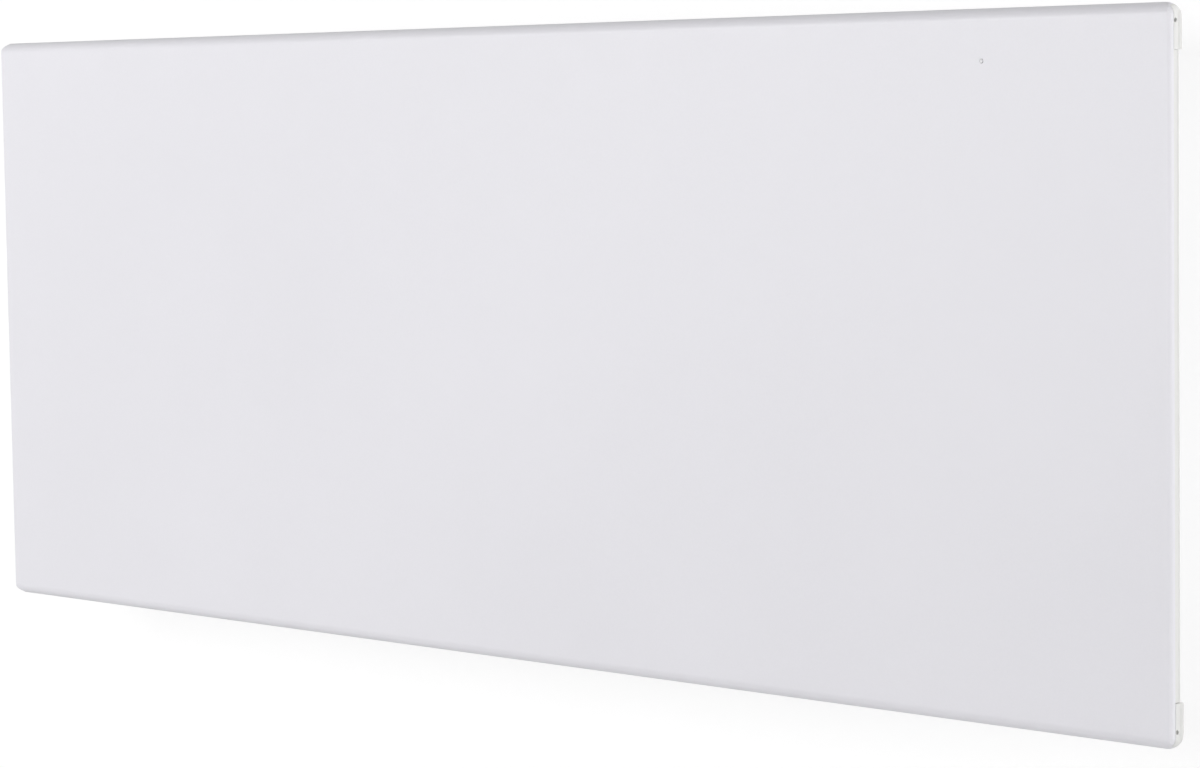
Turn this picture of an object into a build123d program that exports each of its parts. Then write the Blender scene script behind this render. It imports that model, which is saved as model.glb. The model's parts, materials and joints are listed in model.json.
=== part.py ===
from build123d import *
import os

# Wall convector heater. X runs along the wall to the right, Y runs into the wall, Z runs up.
# The wall's surface is Y = 0 and the heater stands out of it towards -Y. Z = 0 is the middle of the panel.
# Millimetres.

# Overall sizes
panel_width = 1025.0
panel_height = 400.0
wall_distance = 85.0
bracket_gap = 30.0

# Front panel: a pressed tray with rounded top and bottom edges and short side lips
panel_sheet = 0.8
edge_depth = 11.4
front_bend = 5.0
curl_height = 10.0
side_bend = 2.0
corner_round = 6.0
back_flange = 25.0
lip_depth = 3.8

# Corner caps and side rails that close the panel's open sides
cap_height = 25.0
cap_width = 3.0
cap_plug = 30.0
cap_wall = 2.0
cap_hole_radius = 1.2
cap_hole_from_end = 9.5
rail_recess = 1.0
rail_depth = 10.0
rail_width = 6.0
moulding_gap = 0.2

# Stiffeners inside the panel
stiffener_width = 30.0
stiffener_inset = 42.5
stiffener_foot = 5.0

# Body behind the panel
side_inset = 50.5
end_inset = 11.0
case_sheet = 0.8
tray_depth = 13.0
cheek_flange = 21.0
grille_drop = 12.0
control_cut = 10.0
slot_width = 6.0
slot_pitch = 12.0
slot_margin = 16.0
slot_border = 8.0

# Hot chamber
partition_from_right = 132.0
partition_flange = 14.0
partition_hole_radius = 4.0
shield_sheet = 0.5
reflector_standoff = 8.0
reflector_height = 300.0
reflector_foot = 10.0
reflector_margin = 22.0
shield_standoff = 7.4
shield_height = 250.0
shield_foot = 7.0

# Heating element
element_from_end = 94.0
element_depth = 52.5
profile_width = 22.0
profile_height = 60.0
profile_fin = 1.4
profile_tube_wall = 1.2
profile_tip = 6.0
rod_radius = 4.0
rod_fit = 0.1
rod_end = 16.0
pin_radius = 1.5
pin_length = 12.0
bush_radius = 8.0
bush_length = 8.0
bush_flange = 2.5
bush_flange_length = 2.5
element_margin_left = 52.0
element_margin_right = 36.0
element_bracket_width = 24.0
element_bracket_height = 44.0
element_bracket_foot = 14.0
element_bracket_sheet = 1.2

# Overheat cut-out on the reflector
cutout_along = 120.0
cutout_up = 60.0
cutout_radius = 8.0
cutout_height = 7.0
cutout_clip_width = 30.0
cutout_clip_height = 12.0
cutout_clip_sheet = 0.8
cutout_tab_width = 6.0
cutout_tab_height = 7.0

# Control unit at the top right, with its face up
housing_length = 114.0
housing_height = 66.0
housing_wall = 2.0
housing_gap = 13.0
cover_thickness = 2.5
board_thickness = 1.6
board_drop = 13.0
board_margin = 1.0
ledge_width = 3.0
ledge_height = 3.4
window_length = 36.0
window_width = 16.0
window_thickness = 1.5
window_ledge = 1.5
window_from_end = 13.0
display_border = 3.0
power_board_raise = 4.0
standoff_radius = 3.0
standoff_inset = 6.0
relay_length = 20.0
relay_width = 16.0
relay_height = 15.0
relay_from_end = 62.0

# Push buttons
button_radius = 5.0
button_flange = 1.5
button_flange_thickness = 1.2
button_proud = 1.0
button_travel = 0.8
button_length = 8.0
button_pitch = 18.0
button_clearance = 0.35
tact_body = 6.0
tact_height = 3.5
tact_stem_radius = 1.7
tact_gap = 0.3
button_from_end = 21.0

# Indicator lamp
lamp_from_side = 125.8
lamp_from_top = 29.0
lamp_radius = 1.2
lamp_clearance = 0.15
lamp_proud = 0.2
led_radius = 1.5
led_length = 4.5

# Mains switch on the right cheek
switch_up = 30.0
switch_depth = 52.0
switch_width = 12.6
switch_height = 19.6
switch_length = 20.0
switch_bezel = 1.6
switch_bezel_thickness = 1.5
switch_wall = 1.0
rocker_length = 16.0
rocker_gap = 0.3
rocker_pivot_depth = 1.0
rocker_top = 3.8
rocker_dip = 1.4
rocker_root = 4.0
rocker_root_length = 9.0
rocker_angle = 7.0
trunnion_radius = 1.0
switch_tab = 6.0

# Cord gland on the right cheek, and the terminals behind it
gland_from_end = 39.0
gland_depth = 56.5
gland_bore = 4.0
gland_thread_radius = 8.0
gland_thread_length = 10.0
gland_hex = 11.0
gland_hex_length = 5.0
gland_neck_radius = 7.0
gland_neck_length = 7.0
gland_cap_radius = 9.5
gland_cap_length = 12.0
gland_cap_wall = 1.6
gland_nut_length = 4.0
terminal_length = 32.0
terminal_width = 17.0
terminal_height = 15.0
terminal_from_side = 35.0
terminal_screw_radius = 2.2
stud_radius = 2.0
stud_length = 12.0
stud_nut = 3.6
stud_nut_thickness = 3.2
stud_from_partition = 12.0

# Room sensor at the inlet
sensor_radius = 2.5
sensor_length = 14.0
sensor_from_side = 60.0
sensor_clip_wall = 1.5
sensor_depth = 52.0

# Inner wires
wire_radius = 1.2
wire_bend = 9.0
wire_lane = 6.0

# Screws
screw_radius = 2.0
screw_length = 8.0
screw_head_radius = 3.6
screw_head_height = 2.2
screw_clearance = 0.3
screw_back = 6.5

# Wall bracket
bracket_sheet = 1.5
bracket_width = 500.0
bracket_top = 150.0
upright_width = 40.0
crossbar_height = 34.0
crossbar_rise = 118.0
crossbar_drop = 118.0
bracket_lip = 5.0
wall_hole_radius = 2.75
wall_hole_rise = 80.0

# Hooks, pins, spring clips and buffers between the bracket and the heater
hook_thickness = 3.0
hook_wall = 3.5
hook_pin_from_end = 39.0
hook_pin_depth = 21.0
hook_arm_height = 44.0
hook_horn = 4.0
pin_clearance = 0.3
support_pin_radius = 3.0
support_pin_length = 24.0
support_pin_bore_fit = 0.05
lug_gap = 14.0
lug_sheet = 2.0
lug_round = 5.5
lug_height = 26.0
blade_sheet = 2.0
blade_height = 20.0
blade_rise = 80.0
blade_reach = 20.0
clip_leaf = 0.8
clip_reach = 20.0
clip_height = 16.0
clip_clearance = 0.3
clip_flare = 2.5
buffer_radius = 7.0
buffer_rise = 118.0
buffer_inset = 10.0
buffer_clearance = 0.3

# Planes and corners worked out from the sizes above
half_width = panel_width / 2
half_height = panel_height / 2
front_face = -wall_distance
rim_face = front_face + edge_depth
lip_edge = front_face + lip_depth
case_back = -bracket_gap
tray_inside = case_back - case_sheet
tray_front = case_back - tray_depth
case_side = half_width - side_inset
tray_side = case_side - case_sheet
case_end = half_height - end_inset
tray_end = case_end - case_sheet
flange_face = rim_face + case_sheet
partition_right = case_side - partition_from_right
partition_left = partition_right - case_sheet
reflector_front = tray_inside - reflector_standoff
shield_back = flange_face + shield_standoff
hot_left = -tray_side
element_height = element_from_end - case_end
element_axis = (0, -element_depth, element_height)
profile_start = hot_left + element_margin_left
profile_finish = partition_left - element_margin_right
housing_right = tray_side - housing_gap
housing_left = housing_right - housing_length
housing_front = flange_face + housing_wall
housing_base = tray_end - housing_height
cover_top = tray_end + cover_thickness
board_top = tray_end - board_drop
board_base = board_top - board_thickness
power_board_top = housing_base + housing_wall + power_board_raise + board_thickness
button_places = [housing_right - button_from_end - button_pitch * step for step in (2, 1, 0)]
button_middle = (housing_front + tray_inside) / 2
window_left = housing_left + window_from_end
lamp_side = half_width - lamp_from_side
lamp_height = half_height - lamp_from_top
upright_spacing = bracket_width - upright_width
hook_sides = [-upright_spacing / 2, upright_spacing / 2]
buffer_reach = upright_spacing / 2 - upright_width / 2 - buffer_inset
pin_axis_y = -hook_pin_depth
pin_axis_z = hook_pin_from_end - case_end
bracket_base = pin_axis_z - hook_arm_height / 2
hook_radius = support_pin_radius + pin_clearance
stud_side = partition_right + stud_from_partition
terminal_right = case_side - terminal_from_side
terminal_left = terminal_right - terminal_length
gland_height = gland_from_end - case_end
terminal_top = gland_height + terminal_height / 2
terminal_base = gland_height - terminal_height / 2
low = Align.MIN
mid = Align.CENTER


def block(x, y, z):
    """A box between two corners, each axis given as its low and high value."""
    middle = Pos((x[0] + x[1]) / 2, (y[0] + y[1]) / 2, (z[0] + z[1]) / 2)
    return middle * Box(x[1] - x[0], y[1] - y[0], z[1] - z[0])


def rod(start, towards, length, radius):
    """A round bar of a length that leaves a point in a direction."""
    return Plane(origin=start, z_dir=towards) * Cylinder(radius, length, align=(mid, mid, low))


def hexagon(start, towards, length, radius):
    """A hexagonal bar of a length that leaves a point in a direction, with its radius across the flats."""
    section = Plane(origin=start, z_dir=towards) * RegularPolygon(radius, 6, major_radius=False)
    return extrude(section, amount=length)


def mirrored(solid):
    """The same piece on the other side of the heater."""
    return mirror(solid, about=Plane.YZ)


def bend_left(radius, wall):
    """The inner radius of a bend, which never closes up."""
    return max(radius - wall, 0.1)


# Front panel
def panel_section(inset):
    """The panel's outline seen from the side, drawn inside the outer surface by inset."""
    front = front_face + inset
    rim = rim_face - inset
    top = half_height - inset
    bend = bend_left(front_bend, inset)
    curl = bend_left(curl_height, inset)
    turn = front + bend
    with BuildSketch(Plane.YZ) as section:
        with BuildLine():
            Line((front, bend - top), (front, top - bend))
            RadiusArc((front, top - bend), (turn, top), bend)
            EllipticalCenterArc((turn, top - curl), rim - turn, curl, start_angle=0, arc_size=90)
            Line((rim, top - curl), (rim, curl - top))
            EllipticalCenterArc((turn, curl - top), rim - turn, curl, start_angle=270, arc_size=90)
            RadiusArc((turn, -top), (front, bend - top), bend)
        make_face()
    return section.sketch


def panel_block(inset):
    """The panel as a solid block inside its outer surface by inset, rounded as the real one is."""
    reach = half_width - inset
    depth = 2 * wall_distance
    side = extrude(panel_section(inset), amount=reach, both=True)
    corner = bend_left(corner_round, inset)
    outline = RectangleRounded(2 * reach, 2 * (half_height - inset), corner)
    outline = extrude(Plane.XZ * outline, amount=depth, both=True)
    plan = RectangleRounded(2 * reach, depth, bend_left(side_bend, inset))
    plan = extrude(Pos(0, front_face + inset + depth / 2, 0) * plan, amount=half_height, both=True)
    return side & outline & plan


def front_panel():
    """Pressed sheet: rounded top and bottom, lips at the sides, flanges at the back, a hole for the lamp."""
    shell = panel_block(0) - panel_block(panel_sheet)
    behind_lip = (lip_edge, 0)
    tall = (-panel_height, panel_height)
    for side in (-1, 1):
        ends = sorted((side * (half_width - cap_width), side * panel_width))
        shell -= block(ends, behind_lip, tall)
    inner_end = half_height - back_flange
    shell -= block((-panel_width, panel_width), (rim_face - 2 * panel_sheet, 0), (-inner_end, inner_end))
    hole = rod((lamp_side, front_face - 1, lamp_height), (0, 1, 0), edge_depth, lamp_radius + lamp_clearance)
    return shell - hole


def corner_cap():
    """Moulded corner, drawn at the top right: a visible end behind the lip and a hollow plug in the panel."""
    rows = (half_height - cap_height, half_height)
    shown = panel_block(0) & block((half_width - cap_width + moulding_gap, half_width),
                                   (lip_edge + moulding_gap, rim_face), rows)
    inner = panel_sheet + moulding_gap
    plug = panel_block(inner) & block((half_width - cap_plug, half_width), (front_face, rim_face), rows)
    pocket = panel_block(inner + cap_wall) & block(
        (0, half_width - cap_width - cap_wall), (front_face, rim_face), (0, half_height))
    hole = rod((half_width - cap_width, lip_edge + moulding_gap + cap_hole_radius + 0.2,
                half_height - cap_hole_from_end), (1, 0, 0), 2 * cap_width, cap_hole_radius)
    return shown + plug - pocket - hole


def side_rail():
    """Moulded strip between two caps, drawn on the right, with a tongue that lies behind the lip."""
    end = half_height - cap_height - moulding_gap
    strip = block((half_width - rail_recess - rail_width, half_width - rail_recess),
                  (lip_edge + moulding_gap, front_face + rail_depth), (-end, end))
    behind_lip = block((half_width - rail_recess - rail_width, half_width),
                       (front_face, lip_edge + moulding_gap), (-end, end))
    tongue = panel_block(panel_sheet + moulding_gap) & behind_lip
    return strip + tongue


def stiffener():
    """Folded channel on the right, welded to the inside of the panel; the body screws to its back."""
    right = half_width - stiffener_inset
    left = right - stiffener_width
    inside = front_face + panel_sheet
    end = half_height - back_flange - panel_sheet
    rows = (-end, end)
    web = block((left, right), (rim_face - panel_sheet, rim_face), rows)
    legs = block((left, left + panel_sheet), (inside, rim_face), rows)
    legs += block((right - panel_sheet, right), (inside, rim_face), rows)
    feet = block((left - stiffener_foot, left), (inside, inside + panel_sheet), rows)
    feet += block((right, right + stiffener_foot), (inside, inside + panel_sheet), rows)
    return drilled(web + legs + feet, panel_seats[-len(flange_rows):])


def indicator_lens():
    """Light pipe from the lamp to the front face, with a rounded end."""
    length = housing_front - front_face + lamp_proud
    pipe = rod((lamp_side, front_face - lamp_proud, lamp_height), (0, 1, 0), length, lamp_radius)
    return fillet(pipe.edges().sort_by(Axis.Y)[0], lamp_proud)


# Fasteners
def screw(seat, towards):
    """Pan head screw with a cross recess; the seat is under its head and it points in a direction."""
    shank = Cylinder(screw_radius, screw_length, align=(mid, mid, low))
    head = Cylinder(screw_head_radius, screw_head_height, align=(mid, mid, Align.MAX))
    head = fillet(head.edges().sort_by(Axis.Z)[0], screw_head_height / 2)
    recess = screw_head_height / 2
    for width, length in ((0.9, 4.2), (4.2, 0.9)):
        head -= Pos(0, 0, -screw_head_height) * Box(width, length, 2 * recess)
    return Plane(origin=seat, z_dir=towards) * (shank + head)


def hole_for(seat, towards):
    """The clearance hole of a screw, both ways from its seat."""
    axis = Vector(*towards)
    start = Vector(*seat) - axis * screw_length
    return rod(start, towards, 2 * screw_length, screw_radius + screw_clearance)


screw_depth = case_back - screw_back
cheek_rows = [step * (tray_end - screw_length - 2 * screw_back) for step in (-1, 0, 1)]
cut_height = housing_base - control_cut
right_rows = cheek_rows[:-1] + [cut_height - 2 * screw_back]
cheek_seats = [((side * case_side, screw_depth, row), (-side, 0, 0))
               for side, rows in ((-1, cheek_rows), (1, right_rows)) for row in rows]
inlet_columns = [step * (tray_side - screw_length - screw_back) for step in (-1, -0.5, 0, 0.5, 1)]
outlet_left = -case_side + cheek_flange + moulding_gap
outlet_right = partition_left - partition_flange - moulding_gap
outlet_span = outlet_right - outlet_left - 4 * screw_back
outlet_columns = [outlet_left + 2 * screw_back + step * outlet_span / 3 for step in range(4)]
inlet_seats = [((column, screw_depth, -case_end), (0, 0, 1)) for column in inlet_columns]
outlet_seats = [((column, case_back, tray_end - grille_drop / 2), (0, -1, 0)) for column in outlet_columns]
flange_middle = case_side - cheek_flange / 2 + case_sheet
flange_rows = [step * (half_height - back_flange - 2 * screw_back) / 1.5 for step in (-1.5, -0.5, 0.5, 1.5)]
panel_seats = [((side * flange_middle, flange_face, row), (0, -1, 0)) for side in (-1, 1) for row in flange_rows]
housing_seats = [((column, case_back, housing_base + housing_height / 2), (0, -1, 0))
                 for column in (housing_left + standoff_inset, housing_right - standoff_inset)]
all_seats = cheek_seats + inlet_seats + outlet_seats + panel_seats + housing_seats


def casing_screws():
    """Every screw of the casing, which are all alike."""
    return [screw(seat, towards) for seat, towards in all_seats]


def drilled(solid, seats):
    """A sheet with the clearance holes of the screws that go through it."""
    for seat, towards in seats:
        solid -= hole_for(seat, towards)
    return solid


# Casing
def rear_casing():
    """Folded tray: the back of the body, open at the top, with its right side cut away by the control unit."""
    outer = block((-tray_side, tray_side), (tray_front, case_back), (-tray_end, tray_end))
    inner_side = tray_side - case_sheet
    inner_end = tray_end - case_sheet
    tray = outer - block((-inner_side, inner_side), (tray_front - 1, tray_inside), (-inner_end, tray_end + 1))
    tray -= block((inner_side - 1, tray_side + 1), (tray_front - 1, tray_inside), (cut_height, tray_end + 1))
    return drilled(tray, cheek_seats + inlet_seats + outlet_seats + housing_seats)


def cheek(side, cuts):
    """Side plate with a front flange that lies on the stiffener; cuts are its openings."""
    outside = sorted((side * tray_side, side * case_side))
    flange = sorted((side * (case_side - cheek_flange), side * case_side))
    rows = (-tray_end, tray_end)
    plate = block(outside, (rim_face, case_back), rows) + block(flange, (rim_face, flange_face), rows)
    plate = drilled(plate, [seat for seat in cheek_seats + panel_seats if seat[0][0] * side > 0])
    for cut in cuts:
        plate -= cut
    return plate


def slots(left, right, height):
    """The cutters of a row of air slots across the depth of a grille."""
    count = int((right - left - 2 * slot_margin) // slot_pitch) + 1
    first = (left + right - (count - 1) * slot_pitch) / 2
    near = tray_front - slot_border / 2
    far = flange_face + slot_border
    places = [Pos(first + step * slot_pitch, (near + far) / 2, height) for step in range(count)]
    cutter = extrude(SlotOverall(near - far, slot_width, rotation=90), amount=2 * case_sheet, both=True)
    return [place * cutter for place in places]


def grille(left, right, level, seats):
    """Slotted sheet over the top or the bottom of the body, with a flange down the panel's back."""
    sign = 1 if level > 0 else -1
    inner = sign * tray_end
    plate = block((left, right), (rim_face, case_back), sorted((inner, level)))
    lip_right = min(right, -outlet_left)
    lip_rows = sorted((inner - sign * grille_drop, inner))
    if right == partition_right:
        lip_right = outlet_right
    plate += block((outlet_left, lip_right), (rim_face, flange_face), lip_rows)
    plate = plate - slots(left, right, level)
    return drilled(plate, seats)


def outlet_grille():
    """The upper grille has a second flange, which is screwed through the back of the tray."""
    flange = block((outlet_left, outlet_right), (tray_inside - case_sheet, tray_inside),
                   (tray_end - grille_drop, tray_end))
    return grille(-case_side, partition_right, case_end, []) + drilled(flange, outlet_seats)


def inlet_grille():
    """The lower grille runs the whole width, so its front flange is cut where the partition's flange is."""
    plate = grille(-case_side, case_side, -case_end, inlet_seats)
    cut = (partition_left - partition_flange - moulding_gap, partition_right + moulding_gap)
    return plate - block(cut, (rim_face - 1, flange_face), (-tray_end, 0))


def partition():
    """Plate between the hot chamber and the wiring, with holes for the wires."""
    rows = (-tray_end + case_sheet, tray_end)
    plate = block((partition_left, partition_right), (rim_face, tray_inside), rows)
    flange = block((partition_left - partition_flange, partition_right), (rim_face, flange_face), rows)
    plate += flange
    for y, z in partition_holes:
        plate -= rod((partition_left - 1, y, z), (1, 0, 0), 2 + case_sheet, partition_hole_radius)
    return plate


neutral_lane = (tray_inside - wire_lane, -tray_end + case_sheet + screw_length + wire_lane)
partition_holes = [neutral_lane, (-element_depth, element_height)]


def reflector():
    """Thin plate behind the element, folded back to the tray at its top and bottom."""
    left = hot_left + reflector_margin
    columns = (left, partition_left - reflector_foot)
    end = reflector_height / 2
    plate = block(columns, (reflector_front, reflector_front + shield_sheet), (-end, end))
    for side in (-1, 1):
        leg = sorted((side * (end - shield_sheet), side * end))
        foot = sorted((side * end, side * (end + reflector_foot)))
        plate += block(columns, (reflector_front, tray_inside), leg)
        plate += block(columns, (tray_inside - shield_sheet, tray_inside), foot)
    return plate


def front_shield():
    """Thin plate in front of the element, folded forward to the flanges at its ends."""
    left = -(flange_middle - screw_head_radius - moulding_gap)
    right = partition_left - moulding_gap
    rows = (-shield_height / 2, shield_height / 2)
    plate = block((left, right), (shield_back - shield_sheet, shield_back), rows)
    plate += block((left, left + shield_sheet), (flange_face, shield_back), rows)
    plate += block((right - shield_sheet, right), (flange_face, shield_back), rows)
    plate += block((left, left + shield_foot), (flange_face, flange_face + shield_sheet), rows)
    plate += block((right - shield_foot, right), (flange_face, flange_face + shield_sheet), rows)
    return plate


# Heating element
def element_profile():
    """Extruded aluminium X round the rod, with a small lip on the end of each arm."""
    _, y, z = element_axis
    half_y = profile_width / 2
    half_z = profile_height / 2
    bore = rod_radius + rod_fit
    with BuildSketch(Plane.YZ.offset(profile_start)) as section:
        with Locations((y, z)):
            Circle(bore + profile_tube_wall)
        for side_y in (-1, 1):
            for side_z in (-1, 1):
                tip = (y + side_y * (half_y - profile_fin), z + side_z * half_z)
                with BuildLine():
                    arm = Line((y, z), tip)
                trace(lines=[arm], line_width=profile_fin)
                with Locations((tip[0] + side_y * profile_fin / 2, tip[1] - side_z * profile_tip / 2)):
                    Rectangle(profile_fin, profile_tip)
        with Locations((y, z)):
            Circle(bore, mode=Mode.SUBTRACT)
    return extrude(section.sketch, amount=profile_finish - profile_start)


def on_element(x):
    """The point of the element's axis at a place along the heater."""
    return (x, element_axis[1], element_axis[2])


def heating_rod():
    """Sheathed rod through the profile, which sticks out at both ends."""
    length = profile_finish - profile_start + 2 * rod_end
    tube = rod(on_element(profile_start - rod_end), (1, 0, 0), length, rod_radius)
    for start, towards in ((profile_start - rod_end, 1), (profile_finish + rod_end, -1)):
        tube -= rod(on_element(start), (towards, 0, 0), pin_length, pin_radius)
    return tube


def cold_pins():
    """Terminal pin at each end of the rod, half of it inside."""
    left = rod(on_element(profile_start - rod_end - pin_length), (1, 0, 0), 2 * pin_length, pin_radius)
    right = rod(on_element(profile_finish + rod_end - pin_length), (1, 0, 0), 2 * pin_length, pin_radius)
    return [left, right]


def bush(x, outwards):
    """Ceramic ring that holds the rod in its bracket, with a flange on the profile's side."""
    start = x - outwards * bush_flange_length
    ring = rod(on_element(x), (outwards, 0, 0), bush_length - bush_flange_length, bush_radius)
    ring += rod(on_element(start), (outwards, 0, 0), bush_flange_length, bush_radius + bush_flange)
    return ring - rod(on_element(start), (outwards, 0, 0), bush_length, rod_radius + rod_fit)


bush_left_seat = profile_start - bush_flange_length - rod_fit
bush_right_seat = profile_finish + bush_flange_length + rod_fit


def element_bracket(x, outwards):
    """Plate across the hot chamber with a hole for the bush and a foot on the tray."""
    _, y, z = element_axis
    thick = sorted((x, x + outwards * element_bracket_sheet))
    rows = (z - element_bracket_height / 2, z + element_bracket_height / 2)
    near = y - element_bracket_width / 2
    plate = block(thick, (near, tray_inside), rows)
    foot = sorted((x, x + outwards * element_bracket_foot))
    plate += block(foot, (tray_inside - element_bracket_sheet, tray_inside), rows)
    slot = block((thick[0] - 1, thick[1] + 1), (reflector_front - moulding_gap, tray_inside + 1), rows)
    foot_slot = block((foot[0] - 1, foot[1] + 1), (reflector_front - moulding_gap, tray_inside + 1), rows)
    inside_reflector = hot_left + reflector_margin < x < partition_left - reflector_foot
    if inside_reflector:
        plate = plate - slot - foot_slot
        seat = reflector_front - element_bracket_sheet
        plate += block(foot, (seat, reflector_front), rows)
    return plate - rod(on_element(thick[0] - 1), (1, 0, 0), 2 + element_bracket_sheet, bush_radius + rod_fit)


# Overheat cut-out
cutout_x = partition_left - cutout_along
cutout_z = element_height + cutout_up
clip_front = reflector_front - cutout_clip_sheet
cutout_front = clip_front - cutout_height


def cutout_clip():
    """Plate on the reflector that the cut-out is pressed on, with two ears round it."""
    columns = (cutout_x - cutout_clip_width / 2, cutout_x + cutout_clip_width / 2)
    rows = (cutout_z - cutout_clip_height / 2, cutout_z + cutout_clip_height / 2)
    plate = block(columns, (clip_front, reflector_front), rows)
    for side in (-1, 1):
        near = cutout_x + side * (cutout_radius + moulding_gap)
        ear = sorted((near, near + side * cutout_clip_sheet))
        plate += block(ear, (cutout_front + cutout_height / 2, clip_front), rows)
    return plate


def overheat_cutout():
    """Disc cut-out with its two flat tabs."""
    disc = rod((cutout_x, cutout_front, cutout_z), (0, 1, 0), cutout_height, cutout_radius)
    for side in (-1, 1):
        middle = cutout_z + side * cutout_radius / 2
        disc += block((cutout_x - cutout_tab_width / 2, cutout_x + cutout_tab_width / 2),
                      (cutout_front - cutout_tab_height, cutout_front), (middle - 0.4, middle + 0.4))
    return disc


# Control unit
def control_housing():
    """Open moulded box at the top right, with ledges for one board and posts for the other."""
    columns = (housing_left, housing_right)
    outer = block(columns, (flange_face, tray_inside), (housing_base, tray_end))
    wall = housing_wall
    inner = block((housing_left + wall, housing_right - wall), (housing_front, tray_inside - wall),
                  (housing_base + wall, tray_end + 1))
    box = outer - inner
    ledge_rows = (board_base - ledge_height, board_base)
    depth = (housing_front, tray_inside - wall)
    box += block((housing_left + wall, housing_left + wall + ledge_width), depth, ledge_rows)
    box += block((housing_right - wall - ledge_width, housing_right - wall), depth, ledge_rows)
    for x, y in standoff_places:
        box += rod((x, y, housing_base + wall), (0, 0, 1), power_board_raise, standoff_radius)
    box -= rod((lamp_side, flange_face - 1, lamp_height), (0, 1, 0), wall + 2, lamp_radius + lamp_clearance)
    for x, y in housing_wire_holes:
        box -= rod((x, y, housing_base - 1), (0, 0, 1), wall + 2, wire_radius + wire_radius / 2)
    for seat, towards in housing_seats:
        box -= rod((seat[0], tray_inside - wall - 1, seat[2]), (0, 1, 0), wall + 2, screw_radius)
    return box


standoff_places = [(x, y) for x in (housing_left + housing_wall + standoff_inset,
                                    housing_right - housing_wall - standoff_inset)
                   for y in (housing_front + standoff_inset, tray_inside - housing_wall - standoff_inset)]
lane_columns = [housing_left + housing_wall + standoff_inset + 2 * wire_lane * step for step in (1, 2, 3, 4)]
housing_wire_holes = [(lane_columns[0], neutral_lane[0] - wire_lane), (lane_columns[1], -element_depth),
                      (lane_columns[2], -element_depth), (lane_columns[3], -element_depth)]


def control_cover():
    """Moulded face of the control unit, with holes for the buttons and a stepped hole for the window."""
    plate = block((partition_right + moulding_gap, case_side), (rim_face, case_back), (tray_end, cover_top))
    for x in button_places:
        plate -= rod((x, button_middle, tray_end - 1), (0, 0, 1), cover_thickness + 2,
                     button_radius + button_clearance)
    across = window_width / 2
    ledge = window_ledge
    plate -= block((window_left - moulding_gap, window_left + window_length + moulding_gap),
                   (button_middle - across - moulding_gap, button_middle + across + moulding_gap),
                   (cover_top - window_thickness, cover_top + 1))
    plate -= block((window_left + ledge, window_left + window_length - ledge),
                   (button_middle - across + ledge, button_middle + across - ledge), (tray_end - 1, cover_top))
    return plate


def display_window():
    """Clear window that lies in the cover."""
    across = window_width / 2
    return block((window_left, window_left + window_length), (button_middle - across, button_middle + across),
                 (cover_top - window_thickness, cover_top))


def control_board():
    """Upper board on the ledges of the housing."""
    edge = housing_wall + board_margin
    return block((housing_left + edge, housing_right - edge),
                 (housing_front + board_margin, tray_inside - edge), (board_base, board_top))


def display_module():
    """Numeric display on the upper board, just under the window."""
    inset = window_ledge + display_border / 2
    across = window_width / 2 - inset
    top = tray_end - moulding_gap
    return block((window_left + inset, window_left + window_length - inset),
                 (button_middle - across, button_middle + across), (board_top, top))


def indicator_led():
    """Lamp behind the light pipe, with its base under the upper board."""
    near = housing_front + moulding_gap
    body = rod((lamp_side, near, lamp_height), (0, 1, 0), led_length, led_radius)
    base = block((lamp_side - led_radius / 2, lamp_side + led_radius / 2),
                 (near + led_length / 2, near + led_length), (lamp_height, board_base))
    return body + base


def power_board():
    """Lower board on the posts of the housing."""
    edge = housing_wall + board_margin
    return block((housing_left + edge, housing_right - edge), (housing_front + board_margin, tray_inside - edge),
                 (power_board_top - board_thickness, power_board_top))


def relay():
    """Relay that switches the element, on the lower board."""
    left = housing_left + relay_from_end
    return block((left, left + relay_length), (button_middle - relay_width / 2, button_middle + relay_width / 2),
                 (power_board_top, power_board_top + relay_height))


def button(x):
    """Round push button with a flange that keeps it under the cover."""
    top = cover_top + button_proud
    cap = rod((x, button_middle, top - button_length), (0, 0, 1), button_length, button_radius)
    cap = fillet(cap.edges().sort_by(Axis.Z)[-1], button_proud / 2)
    seat = tray_end - moulding_gap
    return cap + rod((x, button_middle, seat), (0, 0, -1), button_flange_thickness, button_radius + button_flange)


def tact_switch(x):
    """Small switch on the upper board, with a stem that the button presses."""
    half = tact_body / 2
    base = block((x - half, x + half), (button_middle - half, button_middle + half),
                 (board_top, board_top + tact_height))
    stem_top = cover_top + button_proud - button_length - button_travel - tact_gap
    return base + rod((x, button_middle, board_top), (0, 0, 1), stem_top - board_top, tact_stem_radius)


# Mains switch
pivot_x = case_side - rocker_pivot_depth


def switch_block(half_y, half_z, x):
    """A block centred on the mains switch."""
    return block(x, (-switch_depth - half_y, -switch_depth + half_y), (switch_up - half_z, switch_up + half_z))


def switch_hole():
    """The hole of the mains switch in the cheek."""
    return switch_block(switch_width / 2 + moulding_gap, switch_height / 2 + moulding_gap,
                        (tray_side - 1, case_side + 1))


def rocker_body():
    """Body of the switch: a bezel outside the cheek, a box inside it with a pocket, and two tabs."""
    half_y = switch_width / 2
    half_z = switch_height / 2
    inner = case_side - switch_length
    body = switch_block(half_y, half_z, (inner, case_side))
    body += switch_block(half_y + switch_bezel, half_z + switch_bezel,
                         (case_side, case_side + switch_bezel_thickness))
    pocket_floor = pivot_x - rocker_root - 3 * rocker_gap
    body -= switch_block(half_y - switch_wall, half_z - switch_wall / 2, (pocket_floor, case_side + 5))
    body -= rod((pivot_x, -switch_depth - half_y + switch_wall / 2, switch_up), (0, 1, 0),
                switch_width - switch_wall, trunnion_radius + rocker_gap)
    for side in (-1, 1):
        middle = switch_up + side * half_z / 2
        body += block((inner - switch_tab, inner), (-switch_depth - half_y / 2, -switch_depth + half_y / 2),
                      (middle - 0.4, middle + 0.4))
    return body


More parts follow.
